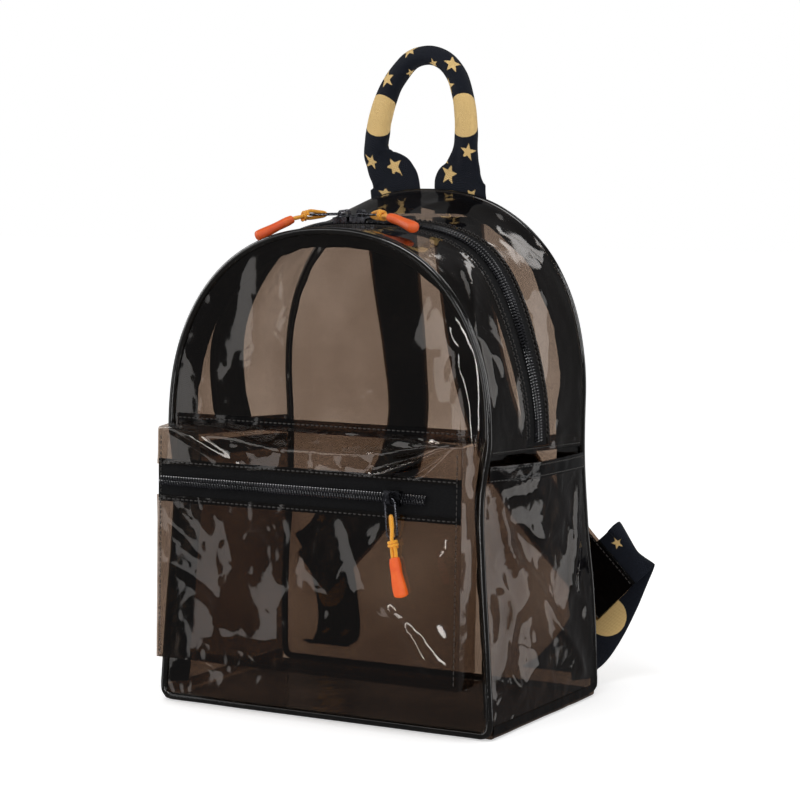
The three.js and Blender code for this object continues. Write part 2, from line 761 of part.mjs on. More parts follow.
const tapeLow = pocketZip - pocketTape / 2;
const tapeHigh = pocketZip + pocketTape / 2;

function pocketFace() {
  const high = tapeLow - clearance;
  return wall(5, 6, film, towardFront, (u, v) => {
    const z = mix(pocketBottom, high, u);
    const bulge = pocketBulge * Math.sin(Math.PI * u) * Math.sin(Math.PI * v);
    return new THREE.Vector3(mix(-halfPocket, halfPocket, v), pocketY(z) - bulge, z);
  });
}

// The strip above the zip folds back to the seam on the front panel
function pocketTopStrip() {
  const low = tapeHigh + 2 * clearance;
  const back = film + clearance;
  const fold = 0.5;
  return wall(8, 12, film, () => new THREE.Vector3(0, -1, 1), (u, v) => {
    const x = mix(-halfPocket, halfPocket, v);
    const sag = pocketSag * Math.sin(Math.PI * v);
    const lean = sagLean * sag;
    const edge = pocketEdge - sag;
    if (u < fold) {
      const z = mix(low, edge, u / fold);
      return new THREE.Vector3(x, pocketY(z) + (lean * u) / fold, z);
    }
    const t = (u - fold) / (1 - fold);
    const y = mix(pocketY(edge) + lean, frontY(pocketSeam) - back, t);
    return new THREE.Vector3(x, y, mix(edge, pocketSeam, t));
  });
}

function pocketSide(side) {
  const outer = side * halfPocket;
  const nearFace = film + clearance;
  const high = pocketEdge - film - clearance;
  return wall(6, 1, film, () => new THREE.Vector3(side, 0, 0), (u, v) => {
    const z = mix(pocketBottom, high, u);
    return new THREE.Vector3(outer, mix(pocketY(z) + nearFace, frontY(z) - pipingEdge, v), z);
  });
}

function pocketFloor() {
  const half = halfPocket - film - clearance;
  const z = pocketBottom;
  return wall(1, 1, film, () => new THREE.Vector3(0, 0, -1), (u, v) => new THREE.Vector3(
    mix(-half, half, u),
    mix(pocketY(z) + film + clearance, frontY(z) - film / 2 - clearance, v),
    z,
  ));
}

function pocketTapeStrip() {
  return wall(1, 1, film, towardFront, (u, v) => {
    const z = mix(tapeLow, tapeHigh, u);
    return new THREE.Vector3(mix(-halfPocket, halfPocket, v), pocketY(z), z);
  });
}

function pocketFrame(x) {
  const along = new THREE.Vector3(1, 0, 0);
  const across = new THREE.Vector3(0, leanIn / backHeight, 1).normalize();
  const out = new THREE.Vector3().crossVectors(across, along).negate();
  return { point: new THREE.Vector3(x, pocketY(pocketZip), pocketZip), along, across, out };
}

function pocketCoil() {
  const ends = [pocketCoilMargin - halfPocket, halfPocket - pocketCoilStop];
  const start = pocketFrame(ends[0]);
  const lift = coilGap + coilHeight / 2;
  const points = ends.map((x) => pocketFrame(x).point.addScaledVector(start.out, lift));
  return bar(points, false, () => start.across, () => flat(pocketCoilWidth, coilHeight));
}

function pocketPull() {
  const frame = pocketFrame(halfPocket - pocketSliderMargin);
  const beforePocket = (x, z, lift) => new THREE.Vector3(x, pocketY(z) - pocketBulge - lift, z);
  const start = new THREE.Vector2(frame.point.x, pocketZip);
  zipPull('pocket', pocketCoilWidth, frame, towardFront(), start, beforePocket);
}

// Handle and straps, behind the back panel

function backY(z) {
  return halfDepth(z);
}

function grabHandle() {
  const tabY = pipingEdge + webbingThickness / 2;
  const key = handleRoute.map((row) => {
    const z = handleFoot + handleRise * row.rise;
    const lean = z < handleFoot ? backY(z) : backY(handleFoot);
    return new THREE.Vector3(handleHalfSpan * row.across, lean + tabY, z);
  });
  const curve = new THREE.CatmullRomCurve3(key, false, 'centripetal');
  const steps = 44;
  const last = handleRoute.length - 1;
  const rows = handleRoute.map((row, k) => ({ ...row, at: k / last }));
  const points = Array.from({ length: steps + 1 }, (_, i) => curve.getPoint(i / steps));
  return bar(points, false, () => new THREE.Vector3(0, 1, 0), (i) => {
    const width = webbing * read(rows, 'at', 'width', i / steps);
    const thickness = handleRound * read(rows, 'at', 'thickness', i / steps);
    return oval(thickness, width, 10);
  });
}

const strapTop = handleFoot - handleTabHeight - strapTopGap;

function strapPoint(side, row) {
  const againstPanel = film / 2 + clearance + strapThickness / 2;
  const z = strapTop - strapDrop * row.drop;
  const x = side * strapSpread * row.across + strapShift * (1 - row.drop);
  return new THREE.Vector3(x, backY(z) + againstPanel + strapBulge * row.bulge, z);
}

function shoulderStrap(side) {
  const curve = new THREE.CatmullRomCurve3(strapRoute.map((row) => strapPoint(side, row)), false, 'centripetal');
  const steps = 24;
  const last = strapRoute.length - 1;
  const rows = strapRoute.map((row, k) => ({ ...row, at: k / last }));
  const points = Array.from({ length: steps + 1 }, (_, i) => curve.getPoint(i / steps));
  const level = (i) => {
    const turn = THREE.MathUtils.degToRad(read(rows, 'at', 'turn', i / steps));
    return new THREE.Vector3(Math.cos(turn), side * Math.sin(turn), 0);
  };
  return bar(points, false, level, () => flat(webbing, strapThickness));
}

// Webbing from the foot of the back panel out to a fold, then back behind the strap's lower end
function strapWebbing(side) {
  const startY = backY(anchorHeight) + film / 2 + 2 * clearance;
  const againstStrap = film / 2 + strapThickness + clearance + webbingThickness / 2;
  const reach = strapBulge + againstStrap + webbingThickness;
  const key = webbingRoute.map((row) => new THREE.Vector3(
    side * mix(anchorSpread, foldSpread, row.across),
    startY + reach * row.reach,
    mix(anchorHeight, foldHeight, row.rise),
  ));
  const steps = 26;
  const slantFrom = steps / 2; // the fold's slant is reached halfway along
  const points = smoothLine(key, steps);
  const level = new THREE.Vector3(side, 0, 0);
  const slanted = new THREE.Vector3(side * foldSlope, 0, -1).normalize();
  return bar(points, false, (i) => level.clone().lerp(slanted, Math.min(1, i / slantFrom)), () => (
    flat(webbing, webbingThickness)
  ));
}

add('front_panel', panel(0), smoke);
add('back_panel', panel(1), smoke);
add('front_piping', pipingLoop(0), piping);
add('back_piping', pipingLoop(1), piping);
add('seam_binding_front', seamBinding(0), tape);
add('seam_binding_back', seamBinding(1), tape);
add('gusset_front', frontGusset(), smoke);
add('gusset_back', backGusset(), smoke);
add('main_zip_tape', zipTape(), tape);
add('main_zip_coil', mainCoil(), coil);
add('base_panel', basePanel(), smoke);
for (const [name, side] of [['left', -1], ['right', 1]]) {
  add(`side_panel_${name}`, sidePanel(side), smoke);
  add(`side_pocket_${name}`, sidePocket(side), smoke);
  add(`side_pocket_hem_${name}`, sideHem(side), smoke);
  add(`pocket_side_${name}`, pocketSide(side), smoke);
  add(`shoulder_strap_${name}`, shoulderStrap(side), navyWebbing);
  add(`strap_webbing_${name}`, strapWebbing(side), navyWebbing);
}
add('pocket_face', pocketFace(), smoke);
add('pocket_top', pocketTopStrip(), smoke);
add('pocket_floor', pocketFloor(), smoke);
add('pocket_zip_tape', pocketTapeStrip(), tape);
add('pocket_zip_coil', pocketCoil(), coil);
add('grab_handle', grabHandle(), navyWebbing);
mainPull('main_left', -1);
mainPull('main_right', 1);
pocketPull();

export default group;
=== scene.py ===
import math

import bpy
import numpy as np
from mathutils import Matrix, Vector, noise


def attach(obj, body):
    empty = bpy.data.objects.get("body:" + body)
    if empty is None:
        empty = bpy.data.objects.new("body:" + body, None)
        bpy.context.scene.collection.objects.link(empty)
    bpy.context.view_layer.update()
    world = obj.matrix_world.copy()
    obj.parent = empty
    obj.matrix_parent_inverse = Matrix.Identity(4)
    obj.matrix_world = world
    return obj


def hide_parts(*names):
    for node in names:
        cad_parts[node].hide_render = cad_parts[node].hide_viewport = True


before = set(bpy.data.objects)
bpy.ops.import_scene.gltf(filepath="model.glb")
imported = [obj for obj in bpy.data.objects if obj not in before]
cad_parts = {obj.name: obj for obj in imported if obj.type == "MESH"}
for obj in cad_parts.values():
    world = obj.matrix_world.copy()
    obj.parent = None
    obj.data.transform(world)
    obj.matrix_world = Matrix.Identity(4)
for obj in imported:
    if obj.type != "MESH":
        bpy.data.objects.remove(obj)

scene = bpy.context.scene
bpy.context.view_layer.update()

# Sizes in millimetres, the same as the solids
BASE_WIDTH, BASE_DEPTH = 241.0, 149.0
FRONT_HEIGHT, BACK_HEIGHT = 305.5, 327.5
DOME_RISE, DOME_POWER = 127.0, 2.255
LEAN_IN, CROWN_DIP, CROWN_REACH = 10.0, 7.0, 0.42
PIPING_RADIUS, PIPING_INSET, CLEARANCE = 2.3, 1.3, 0.3
BASE_LIP, CORNER = 8.2, 6.0
SEAM_FRONT, SEAM_BACK = 175.0, 168.0
HEM_FRONT, HEM_BACK, HEM_WIDTH, MOUTH_GAPE = 165.0, 160.0, 10.0, 6.0
BINDING_WIDTH, BINDING_LEAN = 18.0, 54.0
TAPE_WIDTH, COIL_WIDTH, COIL_PITCH = 30.0, 8.5, 1.9
POCKET_INSET, POCKET_DEPTH, POCKET_BOTTOM = 11.5, 23.0, 33.0
POCKET_EDGE, POCKET_SEAM, POCKET_SAG, SAG_LEAN = 180.0, 182.0, 10.0, 0.4
POCKET_ZIP, POCKET_TAPE, POCKET_COIL, POCKET_BULGE = 146.5, 20.0, 6.0, 2.5
WEBBING, LAYERS = 38.0, 2.4
HALF_BASE = BASE_WIDTH / 2
HALF_POCKET = HALF_BASE - POCKET_INSET
PIPING_EDGE = PIPING_RADIUS + CLEARANCE
PANEL_LOW = 2 * PIPING_EDGE
SHEET = 0.5
SIDES = (("left", -1), ("right", 1))

# Side outline below the spring line: shares of its height and of half the base width
SIDE_HEIGHT = [0.0, 0.3, 0.58, 0.8, 1.0]
SIDE_FRONT = [1.0, 0.971, 0.936, 0.922, 0.958]
SIDE_BACK = [1.0, 0.985, 0.945, 0.927, 0.934]
# Main zip: share of the way from the crown to its ends, and share of the bag's depth
ZIP_TURN = [0.0, 0.38, 0.72, 1.0]
ZIP_DEPTH = [0.4, 0.46, 0.41, 0.51]


def mix(a, b, t):
    return a + (b - a) * t


def smooth(t):
    t = np.clip(t, 0, 1)
    return t * t * (3 - 2 * t)


def read(keys, values, at):
    """Smooth curve through the values."""
    keys, values = np.asarray(keys, float), np.asarray(values, float)
    last = len(keys) - 1
    low = np.maximum(np.arange(last + 1) - 1, 0)
    high = np.minimum(np.arange(last + 1) + 1, last)
    slope = (values[high] - values[low]) / (keys[high] - keys[low])
    i = np.clip(np.searchsorted(keys, at, side="right") - 1, 0, last - 1)
    step = keys[i + 1] - keys[i]
    t = np.clip((at - keys[i]) / step, 0, 1)
    bend = step * t * (1 - t) * ((1 - t) * slope[i] - t * slope[i + 1])
    return values[i] + t * t * (3 - 2 * t) * (values[i + 1] - values[i]) + bend


def top_height(depth):
    return mix(FRONT_HEIGHT, BACK_HEIGHT, depth)


def half_depth(z):
    return BASE_DEPTH / 2 - LEAN_IN * z / BACK_HEIGHT


def half_width(z, depth):
    at = z / (top_height(depth) - DOME_RISE)
    front = read(SIDE_HEIGHT, SIDE_FRONT, at)
    return HALF_BASE * mix(front, read(SIDE_HEIGHT, SIDE_BACK, at), depth)


def depth_to_y(z, depth):
    reach = half_depth(z) - PIPING_EDGE
    return mix(-reach, reach, depth)


def outline(turn, depth, low, inset):
    """Arch from its left foot (turn -1) over the crown (0) to its right foot (1)."""
    along = np.abs(turn)
    spring = top_height(depth) - DOME_RISE
    wide = half_width(spring, depth)
    quarter = np.pi / 2 * np.hypot(wide, DOME_RISE) * math.sqrt(0.5)
    dome = quarter / (quarter + spring - low)
    angle = np.clip(along / dome, 0, 1) * np.pi / 2
    bent = np.clip(np.sin(angle), 0, 1) ** (2 / DOME_POWER)
    rise = np.clip(np.cos(angle), 0, 1) ** (2 / DOME_POWER)
    straight = mix(spring, low, (along - dome) / (1 - dome))
    x = np.where(along < dome, (wide - inset) * bent, half_width(straight, depth) - inset)
    z = np.where(along < dome, spring + (DOME_RISE - inset) * rise, straight)
    return np.sign(turn) * x, z


def crown_sag(turn, depth):
    near = np.clip(1 - (turn / CROWN_REACH) ** 2, 0, 1) ** 2
    return CROWN_DIP * near * np.clip(4 * depth * (1 - depth), 0, 1) ** 1.5


def row(count, first=0.0, final=1.0):
    return np.linspace(first, final, count)[None, :]


def column(count, first=0.0, final=1.0):
    return np.linspace(first, final, count)[:, None]


def stack(x, y, z):
    return np.stack(np.broadcast_arrays(x, y, z), axis=-1).astype(float)


def gusset(turn, depth, low):
    """A place on the film over the top, between the front (depth 0) and the back (depth 1)."""
    x, z = outline(turn, depth, low, 0.0)
    return stack(x, depth_to_y(z, depth), z - crown_sag(turn, depth))


def seam_height(depth):
    return mix(SEAM_FRONT, SEAM_BACK, depth)


def zip_depth(turn):
    return read(ZIP_TURN, ZIP_DEPTH, np.abs(turn))


MEAN_REACH = BASE_DEPTH - LEAN_IN - 2 * PIPING_EDGE


def zip_point(turn, offset):
    depth = zip_depth(turn) + offset / MEAN_REACH
    return gusset(turn, depth, seam_height(depth))


# Materials


def new_material(name):
    material = bpy.data.materials.new(name)
    material.use_nodes = True
    material.node_tree.nodes.clear()
    return material, material.node_tree


def fed(tree, socket, value):
    """Links a socket to another one, or gives it a plain value."""
    if isinstance(value, bpy.types.NodeSocket):
        tree.links.new(value, socket)
    else:
        socket.default_value = value


def node(tree, kind, inputs=None, **settings):
    made = tree.nodes.new("ShaderNode" + kind)
    for key, value in settings.items():
        setattr(made, key, value)
    for key, value in (inputs or {}).items():
        fed(tree, made.inputs[key], value)
    return made


def maths(tree, operation, *values):
    return node(tree, "Math", dict(enumerate(values)), operation=operation).outputs[0]


def ranged(tree, value, low, high, to_low=0.0, to_high=1.0):
    inputs = {"Value": value, "From Min": low, "From Max": high, "To Min": to_low, "To Max": to_high}
    return node(tree, "MapRange", inputs).outputs["Result"]


def blended(tree, factor, a, b):
    """Colour mix: its colour sockets come after those of the other data types."""
    return node(tree, "Mix", {0: factor, 6: a, 7: b}, data_type="RGBA").outputs[2]


def clouds(tree, where, scale, detail, distortion=0.0):
    inputs = {"Vector": where, "Scale": scale, "Detail": detail, "Distortion": distortion}
    return node(tree, "TexNoise", inputs).outputs["Fac"]


def speckled(tree, where, scale, detail, low=0.0, high=1.0):
    """Clouds whose middle tones fill the range from low to high."""
    return ranged(tree, clouds(tree, where, scale, detail), 0.3, 0.7, low, high)


def bumped(tree, strength, distance, height):
    return node(tree, "Bump", {"Strength": strength, "Distance": distance, "Height": height}).outputs[0]


def waves_of(tree, value, pitch):
    """A sine wave of the given pitch in metres."""
    return maths(tree, "SINE", maths(tree, "MULTIPLY", value, 2 * math.pi / pitch))


def place(tree, output="Object"):
    return node(tree, "TexCoord").outputs[output]


def yarn_axes(tree):
    """Distance along and across a strip, from its own UV map in metres."""
    axes = node(tree, "SeparateXYZ", {0: place(tree, "UV")})
    return axes.outputs[0], axes.outputs[1]


def rgba(r, g, b):
    """A colour from its 0 to 255 display values."""
    shares = [c / 255 for c in (r, g, b)]
    return (*(c / 12.92 if c <= 0.04045 else ((c + 0.055) / 1.055) ** 2.4 for c in shares), 1.0)


def principled(tree, **inputs):
    names = {key.replace("_", " "): value for key, value in inputs.items()}
    shader = node(tree, "BsdfPrincipled", names).outputs[0]
    node(tree, "OutputMaterial", {"Surface": shader})


def film_material(name, clear, deep, dull=0.03, waves=0.35):
    """Tinted clear film: it lets light through and mirrors more towards the edge of what is seen."""
    material, tree = new_material(name)
    where = place(tree)
    fine = maths(tree, "MULTIPLY", clouds(tree, where, 190.0, 3.0), 0.012)
    height = maths(tree, "ADD", clouds(tree, where, 62.0, 1.0, 0.6), fine)
    bump = bumped(tree, waves, 0.0016, height)
    tint = blended(tree, ranged(tree, clouds(tree, where, 16.0, 2.0), 0.35, 0.65), clear, deep)
    through = node(tree, "BsdfTransparent", {"Color": tint}).outputs[0]
    smear = ranged(tree, clouds(tree, where, 30.0, 4.0), 0.3, 0.75, dull, dull + 0.07)
    shine = node(tree, "BsdfGlossy", {"Color": (1, 1, 1, 1), "Roughness": smear, "Normal": bump}).outputs[0]
    facing = node(tree, "LayerWeight", {"Blend": 0.5, "Normal": bump}).outputs["Facing"]
    mirrored = maths(tree, "MULTIPLY_ADD", maths(tree, "POWER", facing, 5.0), 0.9, 0.05)
    mixed = node(tree, "MixShader", {0: mirrored, 1: through, 2: shine}).outputs[0]
    node(tree, "OutputMaterial", {"Surface": mixed})
    return material


def vinyl_material(name, colour, light):
    """Glossy solid vinyl, such as the welt."""
    material, tree = new_material(name)
    where = place(tree)
    principled(tree, Base_Color=blended(tree, speckled(tree, where, 45.0, 4.0), colour, light),
               Roughness=speckled(tree, where, 110.0, 3.0, 0.05, 0.13),
               Normal=bumped(tree, 0.25, 0.0006, clouds(tree, where, 420.0, 3.0)),
               Coat_Weight=0.7, Coat_Roughness=0.04)
    return material


def tape_material(name, colour, light, pitch=0.0009):
    """Woven tape: a fine herringbone of dark yarns."""
    material, tree = new_material(name)
    along, across = yarn_axes(tree)
    herringbone = maths(tree, "MULTIPLY", maths(tree, "PINGPONG", across, 0.003), 0.8)
    weft = waves_of(tree, maths(tree, "ADD", along, herringbone), pitch)
    weave = maths(tree, "MULTIPLY", waves_of(tree, across, pitch), weft)
    fuzz = clouds(tree, place(tree), 900.0, 3.0)
    height = maths(tree, "MULTIPLY_ADD", fuzz, 0.8, weave)
    # The colour follows the weave's height: painted shade in its hollows and painted highlight on its crests,
    # plus random fuzz tone
    principled(tree, Base_Color=blended(tree, ranged(tree, height, -1.0, 1.8), colour, light),
               Roughness=ranged(tree, fuzz, 0.3, 0.7, 0.62, 0.85), Normal=bumped(tree, 0.5, 0.0003, height),
               Specular_IOR_Level=0.12, Sheen_Weight=0.03, Sheen_Roughness=0.4)
    return material


def webbing_material(name):
    """Navy webbing with gold motifs: the mesh carries the distance to the nearest motif's edge."""
    material, tree = new_material(name)
    along, across = yarn_axes(tree)
    weave = maths(tree, "MULTIPLY", waves_of(tree, along, 0.0011), waves_of(tree, across, 0.0014))
    height = maths(tree, "MULTIPLY_ADD", clouds(tree, place(tree), 1100.0, 3.0), 0.9, weave)
    motif = node(tree, "Attribute", attribute_name="motif").outputs["Fac"]
    worn = maths(tree, "MULTIPLY_ADD", clouds(tree, place(tree), 700.0, 3.0), 0.5, -0.25)
    gold = ranged(tree, maths(tree, "ADD", motif, worn), 0.18, -0.18)
    # Colour follows the weave's height: painted shade in its hollows and painted highlight on its crests,
    # plus random fuzz tone, on the navy and the print alike
    painted_weave_shade_and_fuzz = ranged(tree, height, -1.0, 1.9)
    navy = blended(tree, painted_weave_shade_and_fuzz, rgba(9, 11, 17), rgba(30, 36, 50))
    print_tone = blended(tree, painted_weave_shade_and_fuzz, rgba(214, 168, 98), rgba(255, 226, 160))
    principled(tree, Base_Color=blended(tree, gold, navy, print_tone),
               Roughness=ranged(tree, gold, 0.0, 1.0, 0.78, 0.45), Normal=bumped(tree, 0.55, 0.0004, height),
               Specular_IOR_Level=0.15, Sheen_Weight=0.04, Sheen_Roughness=0.5)
    return material


def metal_material(name, dark, light):
    material, tree = new_material(name)
    where = place(tree)
    principled(tree, Base_Color=blended(tree, speckled(tree, where, 260.0, 3.0), dark, light), Metallic=1.0,
               Roughness=speckled(tree, where, 700.0, 3.0, 0.16, 0.34),
               Normal=bumped(tree, 0.15, 0.0002, clouds(tree, where, 1500.0, 2.0)))
    return material


def cord_material(name, dark, light, pitch=0.001496):
    """Braided cord: two sets of yarns that cross."""
    material, tree = new_material(name)
    along, across = yarn_axes(tree)
    sets = [waves_of(tree, maths(tree, way, along, across), pitch) for way in ("ADD", "SUBTRACT")]
    braid = maths(tree, "MAXIMUM", *sets)
    # The colour follows the braid: painted shade in the grooves between yarns and painted highlight on their
    # crests
    principled(tree, Base_Color=blended(tree, ranged(tree, braid, -0.6, 1.0), dark, light),
               Roughness=speckled(tree, place(tree), 900.0, 2.0, 0.5, 0.7),
               Normal=bumped(tree, 0.6, 0.0003, braid), Sheen_Weight=0.2)
    return material


def rubber_material(name, dark, light):
    material, tree = new_material(name)
    where = place(tree)
    grain = clouds(tree, where, 1300.0, 4.0)
    principled(tree, Base_Color=blended(tree, speckled(tree, where, 120.0, 4.0), dark, light),
               Roughness=ranged(tree, grain, 0.3, 0.7, 0.42, 0.62), Normal=bumped(tree, 0.35, 0.0003, grain),
               Subsurface_Weight=0.08, Subsurface_Radius=(0.004, 0.002, 0.001))
    return material


smoke = film_material("smoke_film", (0.71, 0.655, 0.61, 1), (0.635, 0.575, 0.525, 1))
soft_smoke = film_material("smoke_film_soft", (0.64, 0.585, 0.54, 1), (0.56, 0.5, 0.455, 1), 0.05, 0.6)
fold_edge = film_material("folded_film", (0.36, 0.29, 0.24, 1), (0.24, 0.19, 0.155, 1), 0.05, 0.5)
dark_sleeve = film_material("dark_sleeve", (0.42, 0.35, 0.3, 1), (0.3, 0.25, 0.21, 1), 0.04, 0.5)
welt = vinyl_material("piping", rgba(9, 8, 7), rgba(20, 17, 14))
tape_black = tape_material("zip_tape", rgba(8, 8, 9), rgba(26, 26, 28))
binding_black = tape_material("binding", rgba(5, 5, 5), rgba(16, 15, 14), 0.0012)
coil_black = vinyl_material("zip_coil", rgba(16, 16, 18), rgba(44, 44, 48))
thread = cord_material("thread", rgba(14, 12, 10), rgba(48, 41, 35))
gunmetal = metal_material("gunmetal", rgba(52, 52, 56), rgba(112, 112, 118))
orange_cord = cord_material("pull_cord", rgba(250, 128, 4), rgba(255, 190, 34))
orange_rubber = rubber_material("grip_rubber", rgba(238, 84, 8), rgba(250, 112, 26))
webbing_cloth = webbing_material("webbing")


# Meshes


def unit(a):
    return a / np.maximum(np.linalg.norm(a, axis=-1, keepdims=True), 1e-12)


def run_of(points):
    """Distance along a line of points."""
    return np.concatenate([[0], np.cumsum(np.linalg.norm(np.diff(points, axis=0), axis=-1))])


def sampled(at, far, line):
    return np.stack([np.interp(at, far, line[:, k]) for k in range(3)], axis=-1)


CRISP = 55.0  # degrees between faces, past which an edge stays sharp


def build(name, points, faces, uvs, material, cad=None, motif=None):
    """One piece from points in mm; uvs holds a pair in mm for each face corner, cad the solid it replaces."""
    mesh = bpy.data.meshes.new(name)
    mesh.from_pydata((np.asarray(points) * 0.001).tolist(), [], [list(f) for f in faces])
    mesh.update()
    mesh.materials.append(material)
    mesh.polygons.foreach_set("use_smooth", np.ones(len(mesh.polygons), bool))
    mesh.set_sharp_from_angle(angle=math.radians(CRISP))
    layer = mesh.uv_layers.new(name="uv")
    layer.data.foreach_set("uv", (np.asarray(uvs, float) * 0.001).ravel())
    if motif is not None:
        held = mesh.attributes.new("motif", "FLOAT", "POINT")
        held.data.foreach_set("value", np.asarray(motif, float).ravel())
    piece = bpy.data.objects.new(name, mesh)
    scene.collection.objects.link(piece)
    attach(piece, "root")
    if cad:
        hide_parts(cad)


def normals_of(points):
    along = np.gradient(points, axis=0)
    beside = np.gradient(points, axis=1)
    return unit(np.cross(along, beside))


def lengths(points):
    """Distance along both directions of a lattice of points."""
    down = np.cumsum(np.linalg.norm(np.diff(points, axis=0, prepend=points[:1]), axis=-1), axis=0)
    right = np.cumsum(np.linalg.norm(np.diff(points, axis=1, prepend=points[:, :1]), axis=-1), axis=1)
    return np.stack([down, right], axis=-1)


CENTRE = np.array([0.0, 0.0, 150.0])


def shell(name, points, material, cad=None, thickness=SHEET, relief=None, outward=None):
    """A closed sheet of even thickness whose outer face passes through the lattice of points."""
    facing = points - CENTRE if outward is None else np.asarray(outward, float)
    normal = normals_of(points)
    sign = -1.0 if np.sum(normal * facing) < 0 else 1.0
    normal = normal * sign
    outer = points if relief is None else points + normal * relief[..., None]
    inner = outer - normals_of(outer) * sign * thickness
    rows, columns = points.shape[:2]
    count = rows * columns
    index = np.arange(count).reshape(rows, columns)
    a, b, c, d = index[:-1, :-1], index[1:, :-1], index[1:, 1:], index[:-1, 1:]
    face = np.stack([a, b, c, d], axis=-1).reshape(-1, 4)
    faces = [face, face[:, ::-1] + count]
    rims = (index[:, 0][::-1], index[:, -1], index[0], index[-1][::-1])
    for rim in rims:
        faces.append(np.stack([rim[:-1], rim[1:], rim[1:] + count, rim[:-1] + count], axis=-1))
    faces = np.concatenate(faces)
    if sign < 0:
        faces = faces[:, ::-1]
    flat = lengths(outer).reshape(-1, 2)
    uvs = np.concatenate([flat, flat])[faces.ravel()]
    build(name, np.concatenate([outer.reshape(-1, 3), inner.reshape(-1, 3)]), faces, uvs, material, cad)


def ring_faces(rows, sides, loop=False, start=0):
    """Faces of a tube of rings, and each corner's place in an unrolled lattice."""
    i = np.arange(rows if loop else rows - 1)[:, None]
    j = np.arange(sides)[None, :]
    steps = ((0, 0), (0, 1), (1, 1), (1, 0))
    faces = np.stack([start + ((i + p) % rows) * sides + (j + q) % sides for p, q in steps], axis=-1)
    i, j = np.broadcast_arrays(i, j)
    corners = np.stack([np.stack([i + p, j + q], -1) for p, q in steps], axis=-2)
    return faces.reshape(-1, 4), corners.reshape(-1, 2)


def capped(faces, uvs, start, rows, sides):
    """Closes both ends of a tube of rings."""
    last = start + (rows - 1) * sides
    faces.extend([list(range(start, start + sides))[::-1], list(range(last, last + sides))])
    uvs.extend([[0, 0]] * (2 * sides))


def tube(name, rings, material, cad=None, loop=False, motif=None):
    """A closed body of rings of points, shape (rings, sides, 3)."""
    rows, sides = rings.shape[:2]
    faces, corners = ring_faces(rows, sides, loop)
    along = run_of(rings.mean(axis=1))
    along = np.append(along, 2 * along[-1] - along[-2])
    girth = np.linalg.norm(rings - np.roll(rings, 1, axis=1), axis=-1).sum(axis=1).mean()
    uvs = np.stack([along[corners[:, 0]], corners[:, 1] * girth / sides], axis=-1)
    faces = faces.tolist()
    uvs = uvs.tolist()
    if not loop:
        capped(faces, uvs, 0, rows, sides)
    build(name, rings.reshape(-1, 3), faces, uvs, material, cad, motif)


def cubic(p0, p1, p2, p3, t):
    """Catmull-Rom curve from p1 to p2."""
    return 0.5 * (2 * p1 + (p2 - p0) * t + (2 * p0 - 5 * p1 + 4 * p2 - p3) * t ** 2
                  + (3 * p1 - p0 - 3 * p2 + p3) * t ** 3)


def padded_ends(points):
    return np.concatenate([2 * points[:1] - points[1:2], points, 2 * points[-1:] - points[-2:-1]])


def catmull(points, count, loop=False):
    """Evenly spaced points on a smooth curve through the given ones."""
    points = np.asarray(points, float)
    padded = np.concatenate([points[-1:], points, points[:2]]) if loop else padded_ends(points)
    t = np.linspace(0, 1, 24, endpoint=False)[:, None]
    fine = [cubic(*padded[k:k + 4], t) for k in range(len(padded) - 3)]
    fine = np.concatenate(fine + [padded[-2:-1]])
    far = run_of(fine)
    return sampled(np.linspace(0, far[-1], count, endpoint=not loop), far, fine)


def spline_rows(points, steps):
    """Points at even steps of the control points' own count."""
    padded = padded_ends(points)
    at = np.linspace(0, len(points) - 1, steps)
    k = np.minimum(at.astype(int), len(points) - 2)
    return cubic(*(padded[k + i] for i in range(4)), (at - k)[:, None])


def circle(sides):
    angle = 2 * np.pi * np.arange(sides) / sides
    return np.cos(angle), np.sin(angle)


def rounded(wave, power):
    """A sine or cosine made squarer, for a section between a circle and a box."""
    return np.sign(wave) * np.abs(wave) ** power


def round_rings(points, radius, sides, up, loop=False):
    """Rings of a round tube along a line."""
    ahead = np.roll(points, -1, axis=0) - np.roll(points, 1, axis=0) if loop else np.gradient(points, axis=0)
    tangent = unit(ahead)
    wide = unit(np.cross(np.broadcast_to(np.asarray(up, float), points.shape), tangent))
    high = np.cross(tangent, wide)
    c, d = circle(sides)
    return points[:, None] + radius * (c[None, :, None] * wide[:, None] + d[None, :, None] * high[:, None])


def noise_at(points, size, seed):
    """Smooth noise between about -1 and 1, with lumps of the given size."""
    flat = (points.reshape(-1, 3) / size + seed * 17.31).tolist()
    return np.array([noise.noise(Vector(p)) for p in flat]).reshape(points.shape[:-1])


def wrinkles(points, amount, size, seed):
    """Soft folds of film: broad waves with sharper ridges between them."""
    warp = 0.55 * size * np.stack([noise_at(points, 1.6 * size, seed + k) for k in (1, 2, 3)], axis=-1)
    moved = points + warp
    broad = noise_at(moved, size, seed + 4)
    ridges = 1 - np.abs(noise_at(moved, 0.8 * size, seed + 5)) * 2
    return amount * (broad + 0.45 * ridges * np.abs(ridges))


def ridge(a, b, start, end, width, height, bow):
    """One crease on a sheet, from start to end in the sheet's own two coordinates."""
    start, end = np.asarray(start, float), np.asarray(end, float)
    line = end - start
    length = np.hypot(*line)
    line = line / length
    along = (a - start[0]) * line[0] + (b - start[1]) * line[1]
    share = np.clip(along / length, 0, 1)
    off = (b - start[1]) * line[0] - (a - start[0]) * line[1] - bow * np.sin(np.pi * share)
    outside = np.maximum(0, np.abs(along - length / 2) - length / 2)
    spread = width * (0.5 + 0.9 * share)
    fade = np.exp(-(outside / width) ** 2) * (0.35 + 0.65 * np.sin(np.pi * np.clip(share, 0.04, 0.96)))
    return height * np.exp(-(off / spread) ** 2) * fade


STITCH, STITCH_GAP, THREAD_RADIUS, THREAD_SIDES = 2.3, 1.1, 0.34, 6
# Along one stitch: share of its length, lift and radius, both as shares of the thread's radius
THREAD = np.array([
    (0.0, -0.9, 0.7), (0.15, 0.15, 1.0), (0.5, 0.45, 1.05), (0.85, 0.15, 1.0), (1.0, -0.9, 0.7),
])


